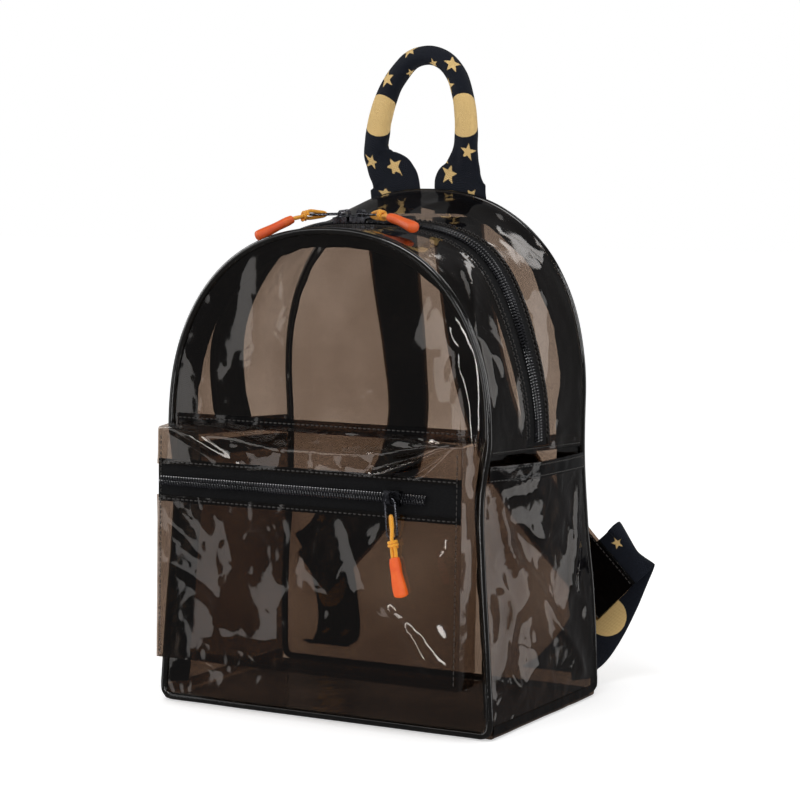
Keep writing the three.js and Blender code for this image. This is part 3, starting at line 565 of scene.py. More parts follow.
def stitches(name, rows):
    """Short threads lying on a surface; each row is a line of points and the directions out of it."""
    points, faces, uvs = [], [], []
    c, d = circle(THREAD_SIDES)
    for line, out in rows:
        far = run_of(line)
        for start in np.arange(0.5, far[-1] - STITCH, STITCH + STITCH_GAP):
            at = start + STITCH * THREAD[:, 0]
            centre, up = sampled(at, far, line), unit(sampled(at, far, out))
            wide = np.cross(up, unit(np.gradient(centre, axis=0)))
            lift, radius = THREAD_RADIUS * THREAD[:, 1, None], THREAD_RADIUS * THREAD[:, 2, None, None]
            ring = ((centre + up * lift)[:, None]
                    + radius * (c[None, :, None] * wide[:, None] + d[None, :, None] * up[:, None]))
            base = len(points) * ring[..., 0].size
            made, corners = ring_faces(len(THREAD), THREAD_SIDES, start=base)
            faces.extend(made.tolist())
            uvs.extend((corners * 0.5).tolist())
            capped(faces, uvs, base, len(THREAD), THREAD_SIDES)
            points.append(ring.reshape(-1, 3))
    build(name, np.concatenate(points), faces, uvs, thread)


def creased(a, b, rows):
    """The sum of several creases: start, end, width, height and bow of each."""
    return sum(ridge(a, b, *crease) for crease in rows)


def fading(share, width):
    """1 in the middle of a sheet, and down to 0 at both of its edges."""
    return smooth(np.minimum(share, 1 - share) / width)


# Body

PANEL_ROWS, PANEL_COLUMNS = 105, 84


def facing_out(depth):
    return -1 if depth == 0 else 1


def panel_points(depth):
    """Lattice over a front or back panel: each row runs straight across at one height."""
    turn = np.linspace(0.012, 1, PANEL_ROWS) ** 0.9  # closer together at the crown
    x, z = outline(turn, depth, PANEL_LOW + CORNER, PIPING_INSET + PIPING_RADIUS * 0.6)
    drop = CORNER * np.array([0.25, 0.5, 0.75, 0.93, 1.05])
    low_z = PANEL_LOW + CORNER - drop
    low_x = x[-1] - CORNER * (1 - np.sqrt(np.clip(1 - (drop / CORNER) ** 2, 0, 1)))
    x, z = np.concatenate([x, low_x]), np.concatenate([z, low_z])
    y = facing_out(depth) * half_depth(z)
    return stack(x[:, None] * row(PANEL_COLUMNS, -1), y[:, None], z[:, None])


def panel_edge(points):
    """Distance in from the edge of a panel's lattice, near enough."""
    x, z = np.abs(points[..., 0]), points[..., 2]
    side = x.max(axis=1, keepdims=True) - x
    return np.minimum(np.minimum(side, (z.max() - z) * 1.4), z - z.min())


front = panel_points(0)
folds = wrinkles(front, 0.9, 60, 3) + creased(front[..., 0], front[..., 2], (
    ((104, 262), (58, 232), 9, 2.2, 4), ((112, 246), (84, 200), 6, 2.0, -5),
    ((101, 196), (97, 268), 17, 5.0, 0), ((20, 196), (62, 214), 4, 1.5, 2),
    ((-20, 190), (10, 202), 4, 0.9, -2), ((108, 60), (106, 262), 7, 2.6, 4),
    ((-60, 290), (-84, 222), 11, -1.4, 5),
))
shell("front_window", front, smoke, relief=folds * smooth(panel_edge(front) / 14), outward=(0, -1, 0),
      cad="front_panel")

back = panel_points(1)
back_folds = wrinkles(back, 1.0, 66, 11) * smooth(panel_edge(back) / 20)
shell("back_window", back, smoke, relief=np.clip(back_folds, -3, 0.1), outward=(0, 1, 0), cad="back_panel")


def piping_line(depth):
    """The welt's closed line: the arch, two rounded corners and the base."""
    x, z = outline(np.linspace(-1, 1, 361), depth, PANEL_LOW + CORNER, PIPING_INSET)
    right = x[-1]
    angle = np.linspace(0, np.pi / 2, 7)[1:]
    low = PIPING_EDGE
    corner_x, corner_z = right - CORNER * (1 - np.cos(angle)), low + CORNER * (1 - np.sin(angle))
    base = np.linspace(right - CORNER, CORNER - right, 60)[1:-1]
    xs = np.concatenate([x, corner_x, base, -corner_x[::-1]])
    zs = np.concatenate([z, corner_z, np.full(base.shape, low), corner_z[::-1]])
    return catmull(stack(xs, facing_out(depth) * half_depth(zs), zs), 560, loop=True)


def dome_out(points):
    """Direction out of the bag, in the plane of a panel."""
    away = points - np.array([0, 0, FRONT_HEIGHT - DOME_RISE])
    away[..., 1] = 0
    return unit(away)


BINDING_START, BINDING_SHEET = 2.4, 0.8
BINDING_WAVES = ((1.2, 16), (3.2, 27))  # of the front and the back one's inner edge: height and length
for label, depth in (("front", 0), ("back", 1)):
    side = facing_out(depth)
    line = piping_line(depth)
    wobble = 0.25 * noise_at(line, 30, 5 + depth)[:, None] * np.array([1.0, 0, 1.0])
    rings = round_rings(line + wobble, PIPING_RADIUS, 20, (0, 1, 0), loop=True)
    tube(f"{label}_welt", rings, welt, loop=True, cad=f"{label}_piping")
    x, z = outline(np.linspace(-1, 1, 401), depth, PANEL_LOW + CORNER, PIPING_INSET)
    core = stack(x, side * half_depth(z), z)
    inward = unit(np.cross(np.gradient(core, axis=0), (0, 1, 0)))
    inward *= -np.sign(np.sum(inward * dome_out(core), axis=-1, keepdims=True))
    lean = math.radians(BINDING_LEAN)
    run = inward * math.cos(lean) + np.array([0, -side * math.sin(lean), 0])
    height, size = BINDING_WAVES[depth]
    width = BINDING_WIDTH - 1.2 + height * noise_at(core, size, 9 + depth) + 0.6 * noise_at(core, 5, 4)
    share = row(10)
    far = mix(BINDING_START, width[:, None], share)
    strip = core[:, None] + run[:, None] * far[..., None]
    shell(f"{label}_binding", strip, binding_black, thickness=BINDING_SHEET, outward=(0, -side, 0),
          relief=0.9 * noise_at(strip, 14, 21 + depth) * share ** 1.2, cad=f"seam_binding_{label}")

# Top film, before and behind the zip
turns = column(301, -1)
edge = (TAPE_WIDTH / 2 + 0.2) / MEAN_REACH
UNDER_SEAM = 3.0


def gusset_folds(points, share, amount, size, seed):
    return wrinkles(points, amount, size, seed) * (0.12 + 0.88 * fading(share, 0.22))


share = row(34)
depth = share * (zip_depth(turns) - edge)
points = gusset(turns, depth, seam_height(depth) - UNDER_SEAM)
folds = gusset_folds(points, share, 1.5, 46, 31)
folds += ridge(turns * 100, share * 60, (62, 6), (44, 52), 5, 1.6, 3)
shell("front_top_film", points, smoke, relief=folds, cad="gusset_front")

share = row(40)
depth = mix(zip_depth(turns) + edge, 1, share)
points = gusset(turns, depth, seam_height(depth) - UNDER_SEAM)
shell("back_top_film", points, smoke, relief=gusset_folds(points, share, 1.7, 50, 47), cad="gusset_back")

# Main zip: the tape runs on under the film on both sides
TAPE_UNDER = 5.5
offsets = row(24, -TAPE_WIDTH / 2 - TAPE_UNDER, TAPE_WIDTH / 2 + TAPE_UNDER)
points = zip_point(column(321, -1), offsets)
sunk = np.where(np.abs(offsets) > TAPE_WIDTH / 2 - 0.5, -0.95, -0.35)
shell("zip_tape", points, tape_black, relief=np.broadcast_to(sunk, points.shape[:2]), cad="main_zip_tape")


def arch_frame(turn, offset=0.0):
    """Point, direction along, direction across and direction out on the main zip."""
    turn = np.asarray(turn, float)
    point = zip_point(turn, offset)
    along = unit(zip_point(turn + 0.004, offset) - zip_point(turn - 0.004, offset))
    out = unit(np.cross(zip_point(turn, offset - 1) - zip_point(turn, offset + 1), along))
    out *= np.sign(np.sum(out * dome_out(point), axis=-1, keepdims=True))
    return point, along, np.cross(out, along), out


def even_turns(first, final, spacing):
    """Places along the zip at even distances."""
    t = np.linspace(first, final, 1200)
    far = run_of(zip_point(t, 0.0))
    return np.interp(np.arange(0, far[-1], spacing), far, t)


WIRE_RADIUS, WIRE_SIDES, WIRE_STEPS, TOOTH_LIFT, TOOTH_RISE, TOOTH_LEAN = 0.6, 5, 7, 0.75, 0.95, 0.28


def coil_rows(name, point, along, across, out, width, cad):
    """Two rows of bent wire teeth, half a pitch apart, that meet in the middle of the zip."""
    bend = np.linspace(-0.25, 1.25, WIRE_STEPS) * np.pi
    c, d = circle(WIRE_SIDES)
    rings, faces, uvs = [], [], []
    for side, shift in ((-1, 0.0), (1, 0.5)):
        reach = width * (side * 0.245 + 0.25 * np.cos(bend))
        lift = TOOTH_LIFT + TOOTH_RISE * np.sin(bend)
        lean = TOOTH_LEAN * side * np.cos(bend)
        line = ((point + along * shift * COIL_PITCH)[:, None] + across[:, None] * reach[None, :, None]
                + out[:, None] * lift[None, :, None] + along[:, None] * lean[None, :, None])
        high = unit(np.cross(unit(np.gradient(line, axis=1)), along[:, None]))
        round_it = c[:, None] * along[:, None, None] + d[:, None] * high[:, :, None]
        rings.append((line[:, :, None] + WIRE_RADIUS * round_it).reshape(-1, 3))
    tooth = WIRE_STEPS * WIRE_SIDES
    for start in range(0, 2 * len(point) * tooth, tooth):
        made, corners = ring_faces(WIRE_STEPS, WIRE_SIDES, start=start)
        faces.extend(made.tolist())
        uvs.extend((corners * 0.4).tolist())
        capped(faces, uvs, start, WIRE_STEPS, WIRE_SIDES)
    build(name, np.concatenate(rings), faces, uvs, coil_black, cad)


at = even_turns(-0.985, 0.985, COIL_PITCH)
coil_rows("zip_coil", *arch_frame(at), COIL_WIDTH, "main_zip_coil")

rows = []
for offset in (-TAPE_WIDTH / 2 - 1.6, TAPE_WIDTH / 2 + 1.6, -TAPE_WIDTH / 2 + 2.2, TAPE_WIDTH / 2 - 2.2):
    point, _, _, out = arch_frame(even_turns(-0.995, 0.995, 3.0), offset)
    rows.append((point + out * 0.25, out))
stitches("zip_stitches", rows)

# Lower body


def side_face(side, z, depth, inset):
    return stack(side * (half_width(z, depth) - inset), depth_to_y(z, depth), z)


def hem_height(depth):
    return mix(HEM_FRONT, HEM_BACK, depth)


def side_pocket_point(side, z, depth, proud):
    share = np.clip((z - BASE_LIP) / (HEM_FRONT - BASE_LIP), 0, 1.2)
    gape = MOUTH_GAPE * share ** 1.6 * np.sin(np.pi * depth ** 1.3) ** 0.8
    return side_face(side, z, depth, -gape - proud)


across, up = row(64), column(70)
fine = np.linspace(0.01, 0.99, 160)
edge_hold = fading(across, 0.15)
for label, side in SIDES:
    out = (side, 0, 0)
    z = mix(2.5, seam_height(across) + 5.0, up)
    points = side_face(side, z, across, 1.74)
    folds = np.clip(wrinkles(points, 1.0, 52, 61 + side), -1.6, 0.5) - 0.4
    shell(f"side_wall_{label}", points, smoke, relief=folds * edge_hold, outward=out,
          cad=f"side_panel_{label}")
    z = mix(BASE_LIP + 0.4, hem_height(across) - 0.3, up)
    points = side_pocket_point(side, z, across, 0.1)
    folds = wrinkles(points, 2.9, 50, 75 + side) + creased(across * 140, z, (
        ((134, 152), (96, 60), 8, 2.6, 6), ((16, 150), (56, 74), 7, 2.0, -6), ((10, 40), (60, 96), 9, 1.6, 5),
    ))
    folds = np.clip(folds, -1.2, 6.0) * edge_hold * smooth(up / 0.1)
    shell(f"side_pocket_film_{label}", points, soft_smoke, relief=folds, outward=out,
          cad=f"side_pocket_{label}")
    top = folds[-1]
    z = mix(hem_height(across) - HEM_WIDTH, hem_height(across) + 0.4, column(12))
    points = side_pocket_point(side, z, across, 1.0)
    lip = top + 0.25 * noise_at(points, 12, 81) + 0.25
    shell(f"side_hem_{label}", points, fold_edge, thickness=0.9, relief=lip, outward=out,
          cad=f"side_pocket_hem_{label}")
    rows = []
    for drop in (1.6, HEM_WIDTH - 1.4):
        z = hem_height(fine) - drop
        line = side_pocket_point(side, z, fine, 1.15)
        line[:, 0] += side * (np.interp(fine, across[0], top) + 0.25)
        rows.append((line, np.tile(out, (len(fine), 1))))
    rows.append((side_face(side, seam_height(fine) - 1.5, fine, -0.2), np.tile(out, (len(fine), 1))))
    stitches(f"side_stitches_{label}", rows)
    z = seam_height(across) + column(8, -4.0, 5.5)
    points = side_face(side, z, across, 0.75)
    shell(f"side_seam_{label}", points, fold_edge, thickness=0.6, outward=out,
          relief=0.2 * noise_at(points, 9, 85))

# Base: one sheet that turns up at both sides
corner = 2.6
bend = np.linspace(0, np.pi / 2, 7)
lip_z = np.linspace(BASE_LIP, corner, 8)[:-1]
floor_x = np.linspace(HALF_BASE - corner, 0, 40)[1:]
xs = np.concatenate([np.full(7, HALF_BASE), HALF_BASE - corner * (1 - np.cos(bend)), floor_x])
zs = np.concatenate([lip_z, corner * (1 - np.sin(bend)), np.zeros(39)])
xs, zs = np.concatenate([xs, -xs[-2::-1]]), np.concatenate([zs, zs[-2::-1]])
deep = row(60, -1) * (half_depth(BASE_LIP) - PIPING_EDGE)
points = stack(xs[:, None], deep, zs[:, None])
shell("base_sheet", points, fold_edge, thickness=1.0, cad="base_panel",
      relief=-np.clip(wrinkles(points, 0.5, 40, 90), 0, 0.6))

# Front pocket


def pocket_y(z):
    return -half_depth(z) - POCKET_DEPTH


TAPE_LOW, TAPE_HIGH = POCKET_ZIP - POCKET_TAPE / 2, POCKET_ZIP + POCKET_TAPE / 2
x = row(120, -HALF_POCKET, HALF_POCKET)
middle = np.sin(np.pi * (x / HALF_POCKET + 1) / 2)

up = column(76)
z = mix(POCKET_BOTTOM, TAPE_LOW + 0.6, up)
bulge = POCKET_BULGE * np.sin(np.pi * up) * middle
points = stack(x, pocket_y(z) - bulge - 0.7 * smooth(up * 6 - 5), z)
folds = wrinkles(points, 4.0, 92, 101) + creased(points[..., 0], points[..., 2], (
    ((-104, 124), (-46, 60), 10, 3.0, 9), ((-88, 132), (-20, 96), 8, 2.2, -8),
    ((-100, 96), (-30, 44), 9, 2.4, 8), ((64, 78), (95, 38), 5, 4.4, 3), ((30, 128), (92, 46), 9, 2.6, -7),
    ((4, 100), (44, 52), 7, 1.8, 6), ((62, 74), (104, 60), 6, 2.2, 5), ((-70, 50), (20, 66), 8, 2.0, -6),
    ((96, 118), (70, 90), 7, 1.6, 4),
))
folds = np.clip(folds, -3.2, 6.5) * smooth((HALF_POCKET - np.abs(x)) / 14) * fading(up, 0.14)
shell("pocket_front_film", points, soft_smoke, relief=folds, outward=(0, -1, 0), cad="pocket_face")

# Flap: up from the zip to its sagging front edge, then back to the seam on the panel
up = column(70)
sag = POCKET_SAG * middle
lean = SAG_LEAN * sag
edge_z = POCKET_EDGE - sag
low_part = np.clip(up / 0.5, 0, 1)
high_part = np.clip(up / 0.5 - 1, 0, 1)
z = np.where(up < 0.5, mix(TAPE_HIGH + 0.1, edge_z, low_part), mix(edge_z, POCKET_SEAM, high_part))
y_low = pocket_y(z) + lean * low_part
y_high = mix(pocket_y(edge_z) + lean, -half_depth(POCKET_SEAM) - 1.4, high_part)
points = stack(x, np.where(up < 0.5, y_low, y_high), z)
for _ in range(8):
    points[1:-1] = 0.25 * points[:-2] + 0.5 * points[1:-1] + 0.25 * points[2:]
points[..., 1] -= 0.6 * np.exp(-(up * 9) ** 2)
px = points[..., 0]
run = np.broadcast_to(up * 60, px.shape)
folds = wrinkles(points, 2.0, 40, 113) + creased(px, run, (
    ((-107, 32), (-50, 2), 4.5, 4.6, 6), ((-100, 44), (-20, 22), 9, 2.6, 5), ((91, 28), (50, 2), 3.2, 3.6, 0),
))
fan_x, fan_run = 106, 34  # the right corner, from which small creases spread
away = np.hypot(px - fan_x, run - fan_run)
heading = np.arctan2(fan_run - run, fan_x - px)
fan = np.sin(heading * 15) * np.exp(-((away - 34) / 26) ** 2) * smooth((1.1 - np.abs(heading - 0.15)) / 0.5)
folds += 2.0 * fan
folds = np.clip(folds, -2.5, 5.0) * smooth((HALF_POCKET - np.abs(x)) / 8) * fading(up, 0.1)
shell("pocket_flap_film", points, smoke, relief=folds, outward=(0, -1, 0.6), cad="pocket_top")

for label, side in SIDES:
    z = column(70, POCKET_BOTTOM, POCKET_EDGE - 1.5)
    y = mix(pocket_y(z) + 0.8, -half_depth(z) - PIPING_EDGE, row(14))
    points = stack(side * (HALF_POCKET - 0.3), y, z)
    folds = np.clip(wrinkles(points, 1.3, 30, 121 + side), -2.5, 0.6) * smooth((y - y.min()) / 8)
    shell(f"pocket_end_{label}", points, smoke, relief=folds, outward=(side, 0, 0),
          cad=f"pocket_side_{label}")
y = row(14, pocket_y(POCKET_BOTTOM) + 0.6, -half_depth(POCKET_BOTTOM) - 1.2)
points = stack(column(90, 1 - HALF_POCKET, HALF_POCKET - 1), y, POCKET_BOTTOM)
shell("pocket_bottom_film", points, smoke, relief=0.4 * noise_at(points, 18, 131), outward=(0, 0, -1),
      cad="pocket_floor")

z = column(16, TAPE_LOW - 3.5, TAPE_HIGH + 3.5)
points = stack(row(150, 0.6 - HALF_POCKET, HALF_POCKET - 0.6), pocket_y(z) + 0.3, z)
shell("pocket_tape", points, tape_black, thickness=0.6, outward=(0, -1, 0),
      relief=0.25 * noise_at(points, 14, 133), cad="pocket_zip_tape")
xs = np.arange(3 - HALF_POCKET, HALF_POCKET - 24, COIL_PITCH)
up_dir = unit(np.array([0.0, LEAN_IN / BACK_HEIGHT, 1.0]))
out_dir = np.array([0.0, -up_dir[2], up_dir[1]])
along, across, out = (np.tile(way, (len(xs), 1)) for way in ([1.0, 0, 0], up_dir, out_dir))
coil_rows("pocket_coil", stack(xs, pocket_y(POCKET_ZIP), POCKET_ZIP), along, across, out, POCKET_COIL,
          "pocket_zip_coil")

front_dir = np.tile([0.0, -1.0, 0.0], (200, 1))
xs = np.linspace(-HALF_POCKET + 1, HALF_POCKET - 1, 200)
zs = np.linspace(POCKET_BOTTOM + 3, POCKET_EDGE - 3, 200)
seam_z, low_z = POCKET_SEAM + 2.2, POCKET_BOTTOM - 3
lines = [stack(xs, pocket_y(z) - 1.0, z) for z in (TAPE_LOW - 1.6, TAPE_HIGH + 1.8)]
lines.append(stack(xs, -half_depth(seam_z) - 1.75, seam_z))
lines.extend(stack(side * (HALF_POCKET - 3.0), pocket_y(zs) - 0.75, zs) for side in (-1, 1))
lines.append(stack(xs * 0.985, -half_depth(low_z) - 1.0, low_z))
stitches("pocket_stitches", [(line, front_dir) for line in lines])

z = column(8, POCKET_SEAM - 3, POCKET_SEAM + 5)
points = stack(row(110, -HALF_POCKET, HALF_POCKET), -half_depth(z) - 1.0, z)
shell("pocket_seam_band", points, fold_edge, thickness=0.6, outward=(0, -1, 0),
      relief=0.35 * noise_at(points, 11, 137))


# Printed webbing


def star(s, t, turn, radius):
    """Signed distance to a five-pointed star."""
    c, d = math.cos(turn), math.sin(turn)
    a, b = s * c + t * d, -s * d + t * c
    sector = 2 * np.pi / 5
    angle = (np.arctan2(a, b) + sector / 2) % sector - sector / 2
    far = np.hypot(a, b)
    a, b = np.abs(far * np.sin(angle)), far * np.cos(angle)
    inner = 0.4 * radius
    tip = np.array([0.0, radius])
    dent = inner * np.array([math.sin(sector / 2), math.cos(sector / 2)])
    edge = dent - tip
    normal = np.array([-edge[1], edge[0]]) / np.hypot(*edge)
    return a * normal[0] + (b - tip[1]) * normal[1]


UNPRINTED = 9.0  # far enough from any motif's edge


def motif_field(s, t, motifs):
    """Distance to the nearest motif's edge in millimetres, less than zero inside it."""
    best = np.full(np.broadcast(s, t).shape, UNPRINTED)
    for kind, at, beside, turn, size in motifs:
        if kind == "disc":
            best = np.minimum(best, np.hypot(s - at, t - beside) - size)
        else:
            best = np.minimum(best, star(s - at, t - beside, turn, size))
    return best


# Stars round a disc: distance along, share of the half width across and radius
STAR_GROUP = ((0, -0.45, 6.0), (6, 0.5, 4.4), (52, 0.4, 6.4), (57, -0.5, 5.0), (68, 0.05, 3.4))


def scattered(length, half, seed):
    """Plain discs and stars at seeded places along a length of webbing."""
    rng = np.random.default_rng(seed)
    motifs = []
    at = 12.0
    while at < length + 20:
        motifs.append(("disc", at + 30, rng.uniform(-0.1, 0.1) * half, 0, 14.5))
        for ds, dt, size in STAR_GROUP:
            motifs.append(("star", at + ds, dt * half + rng.uniform(-1, 1), rng.uniform(0, 6), size))
        at += 80
    return motifs


# Handle's line: shares of its half span and rise, then of its width and of its roll's thickness
HANDLE_RISE, HANDLE_FOOT, HANDLE_SPAN, HANDLE_ROUND = 85.5, 330.0, 42.0, 13.0
HANDLE = np.array([
    (-0.64, -0.21, 1.0, 0.19), (-0.64, -0.05, 1.0, 0.19), (-0.7, 0.07, 0.92, 0.25), (-0.9, 0.19, 0.6, 0.5),
    (-0.98, 0.29, 0.45, 0.75), (-0.94, 0.47, 0.43, 0.8), (-0.82, 0.66, 0.4, 0.9), (-0.64, 0.82, 0.36, 1.0),
    (-0.36, 0.96, 0.34, 1.0), (-0.05, 1.0, 0.33, 1.0), (0.24, 0.955, 0.34, 1.0), (0.46, 0.83, 0.36, 1.0),
    (0.58, 0.64, 0.38, 0.95), (0.62, 0.44, 0.41, 0.85), (0.61, 0.27, 0.45, 0.75), (0.57, 0.15, 0.66, 0.45),
    (0.52, 0.05, 0.96, 0.22), (0.51, -0.05, 1.0, 0.19), (0.51, -0.21, 1.0, 0.19),
])
z = HANDLE_FOOT + HANDLE_RISE * HANDLE[:, 1]
y = half_depth(np.minimum(z, HANDLE_FOOT)) + PIPING_EDGE + LAYERS / 2
HANDLE_STEPS, HANDLE_SIDES = 420, 88
line = spline_rows(stack(HANDLE_SPAN * HANDLE[:, 0], y, z), HANDLE_STEPS)
share = np.linspace(0, 1, len(HANDLE))
at = np.linspace(0, 1, HANDLE_STEPS)
width = WEBBING * read(share, HANDLE[:, 2], at)
thick = HANDLE_ROUND * read(share, HANDLE[:, 3], at)
tangent = unit(np.gradient(line, axis=0))
high = unit(np.cross(tangent, (0, 1.0, 0)))
flatness = np.clip(width / thick - 1, 0, 1)[:, None]
c, d = circle(HANDLE_SIDES)
a = 0.5 * thick[:, None] * rounded(-c[None, :], 1 - 0.45 * flatness)
b = 0.5 * width[:, None] * rounded(d[None, :], 1 - 0.35 * flatness)
far = run_of(line)
ring_step = np.hypot(np.diff(a, axis=1, append=a[:, :1]), np.diff(b, axis=1, append=b[:, :1]))
girth = ring_step.sum(axis=1, keepdims=True)
around = np.cumsum(ring_step, axis=1) - ring_step
around = np.where(around > girth / 2, around - girth, around)
crease = 1 - 0.16 * np.exp(-((np.abs(around) - girth / 2) / 1.6) ** 2) * (1 - flatness)
waist = np.exp(-((at - 0.17) / 0.05) ** 2) + np.exp(-((at - 0.8) / 0.05) ** 2)
pleats = waist[:, None] * 0.55 * np.cos(around / girth * 2 * np.pi * 5)
rings = line[:, None] + (a * crease)[..., None] * np.array([0, 1.0, 0]) + b[..., None] * high[:, None]
creases = 0.2 * noise_at(rings, 9, 151)
creases += 0.5 * flatness * noise_at(rings * np.array([0.35, 0.35, 1.0]), 7, 153)
rings += unit(rings - line[:, None]) * (pleats + creases)[..., None]
L = far[-1]
HANDLE_MOTIFS = [
    ("disc", 0.285 * L, -2, 0, 14), ("disc", 0.735 * L, 1, 0, 14), ("star", 0.385 * L, 3, 0.4, 6.2),
    ("star", 0.44 * L, -9, 2.0, 4.2), ("star", 0.475 * L, 6, 1.2, 5.4), ("star", 0.55 * L, -5, 3.0, 4.4),
    ("star", 0.6 * L, 4, 0.8, 5.8), ("star", 0.645 * L, -7, 2.4, 6.6), ("star", 0.83 * L, 4, 0.2, 5.6),
    ("star", 0.9 * L, -8, 1.5, 6.4), ("star", 0.95 * L, 9, 2.2, 5.4), ("star", 0.865 * L, -14, 0.9, 4.6),
    ("star", 0.055 * L, 7, 0.7, 6.0), ("star", 0.115 * L, -6, 1.9, 6.2), ("star", 0.165 * L, 5, 2.6, 4.8),
    ("star", 0.02 * L, -11, 0.1, 4.6), ("star", 0.2 * L, -15, 1.0, 4.0),
]
field = motif_field(far[:, None], around, HANDLE_MOTIFS)
tube("carry_handle", rings, webbing_cloth, "grab_handle", motif=field)


RIBBON_CURL = 0.35


def ways_of(line, wide):
    """A strap's width and height directions, square to its line."""
    tangent = unit(np.gradient(line, axis=0))
    wide = unit(wide - tangent * np.sum(wide * tangent, axis=-1, keepdims=True))
    return wide, np.cross(tangent, wide)


def ribbon(name, line, wide, width, thickness, seed, cad, motifs=None):
    """Flat webbing along a line, printed on its lower face, or on both faces where its motifs are given."""
    wide, high = ways_of(line, wide)
    t = np.linspace(-0.5, 0.5, 43)
    profile = 0.5 * thickness * np.sqrt(np.clip(1 - (np.abs(t) * 2) ** 14, 0.12, 1))
    t = np.concatenate([t, t[::-1]])
    up = np.concatenate([profile, -profile[::-1]])[None, :]
    across = (t * width)[None, :]
    far = run_of(line)
    rings = (line[:, None] + across[..., None] * wide[:, None]
             + (up + RIBBON_CURL * t[None, :] ** 2 * 4)[..., None] * high[:, None])
    rings += (0.35 * noise_at(rings, 22, seed))[..., None] * high[:, None]
    field = motif_field(far[:, None], across, motifs or scattered(far[-1], width / 2, seed))
    if motifs is None:
        field = np.where(up > 0, UNPRINTED, field)
    tube(name, rings, webbing_cloth, cad, motif=field)


def sleeve(name, line, wide, width, thickness):
    """Film folded round a strap and sewn along both edges."""
    wide, high = ways_of(line, wide)
    c, d = circle(40)
    across, up = 0.5 * width * rounded(c, 0.35), 0.5 * thickness * rounded(d, 0.5)
    rings = line[:, None] + across[None, :, None] * wide[:, None] + up[None, :, None] * high[:, None]
    rings += (0.5 * noise_at(rings, 26, 191))[..., None] * high[:, None]
    tube(name, rings, dark_sleeve)
    reach, lift = width / 2 - 2.6, thickness / 2 + 0.15
    stitches(name + "_stitches", [(line + wide * side * reach + high * face * lift, high * face)
                                  for side in (-1, 1) for face in (-1, 1)])


# Strap's line: shares of its spread, drop and bulge, then its twist in degrees
STRAP = np.array([
    (0.215, 0.0, 0.0, 0), (0.215, 0.06, 0.04, 0), (0.22, 0.2, 0.2, 4), (0.235, 0.38, 0.46, 12),
    (0.29, 0.56, 0.76, 18), (0.44, 0.72, 0.97, 14), (0.71, 0.87, 0.97, 4), (1.0, 1.0, 0.87, 0),
])
# Folded webbing at the strap's lower end: shares of its way out, its height and its reach behind
ANCHOR = np.array([
    (0.0, 0.0, 0.0), (0.0, 0.0, 0.14), (0.08, 0.02, 0.38), (0.24, 0.13, 0.68), (0.42, 0.33, 0.9),
    (0.63, 0.58, 1.01), (0.84, 0.83, 1.04), (0.96, 0.97, 1.04), (1.0, 1.0, 0.98), (0.93, 0.95, 0.93),
    (0.64, 0.82, 0.91), (0.22, 0.67, 0.9),
])
END_MOTIFS = [
    ("disc", 62, 3, 0, 13.5), ("star", 107, 3, 0.5, 6.6), ("star", 18, -8, 1.0, 5.0),
    ("star", 29, 9, 2.2, 4.4), ("star", 89, -10, 1.2, 4.6), ("star", 121, -9, 0.3, 4.8),
]
STRAP_STEPS, END_STEPS = 300, 250
STRAP_TOP, STRAP_DROP, STRAP_SPREAD = 310.0, 254.0, 118.0
STRAP_SHIFT, STRAP_BULGE, STRAP_THICK = -5.0, 40.0, 2.4
PANEL_OUT, STRAP_GAP, TAB_OUT = 0.6, 0.3, 1.2
END_LOW, END_HIGH, END_NEAR, END_FAR = 14.0, 92.0, 86.0, 124.0
across, drop, stand, twist = STRAP.T
z = STRAP_TOP - STRAP_DROP * drop
y = half_depth(z) + PANEL_OUT + STRAP_GAP + STRAP_THICK / 2 + STRAP_BULGE * stand
turn = np.radians(read(np.linspace(0, 1, len(STRAP)), twist, np.linspace(0, 1, STRAP_STEPS)))
start = half_depth(END_LOW) + TAB_OUT
reach = STRAP_BULGE + PANEL_OUT + STRAP_THICK + STRAP_GAP + LAYERS / 2 + LAYERS
share = np.clip(column(END_STEPS, 0, 2), 0, 1)
for label, side in SIDES:
    line = spline_rows(stack(side * STRAP_SPREAD * across + STRAP_SHIFT * (1 - drop), y, z), STRAP_STEPS)
    wide = stack(np.cos(turn), side * np.sin(turn), 0 * turn)
    ribbon(f"strap_{label}", line, wide, WEBBING - 4, 1.0, 161 + side, f"shoulder_strap_{label}")
    sleeve(f"strap_sleeve_{label}", line, wide, WEBBING, 2.3)
    key = stack(side * mix(END_NEAR, END_FAR, ANCHOR[:, 0]), start + reach * ANCHOR[:, 2],
                mix(END_LOW, END_HIGH, ANCHOR[:, 1]))
    wide = mix(np.array([side, 0, 0.0]), unit(np.array([side * 0.69, 0, -1.0])), share)
    ribbon(f"strap_end_{label}", catmull(key, END_STEPS), wide, WEBBING, 2.2, 171 + side,
           f"strap_webbing_{label}", END_MOTIFS)

# Sliders and pulls
GRIP_THICKNESS, RING_LENGTH, CORD_REACH, GRIP_LENGTH, GRIP_WIDTH = 7.0, 24.0, 11.0, 24.5, 9.0
RING_HALF, RING_WIRE, CORD_RADIUS, KNOT_RADIUS, KNOT_TURNS, KNOT_AT = 3.4, 0.8, 1.15, 1.0, 1.85, 0.28
BRIDGE_MIDDLE = 0.5 + 2 + 0.6 + 1.6 + 1.3  # tape, slider body, gap and half the bridge
# Grip: share of its length, then of its width and of its thickness
GRIP = np.array([
    (0.0, 0.62, 0.66), (0.06, 0.72, 0.76), (0.18, 0.8, 0.84), (0.42, 0.82, 0.8), (0.66, 0.96, 0.9),
    (0.84, 1.0, 1.0), (0.95, 0.97, 0.96), (1.0, 0.92, 0.9),
])
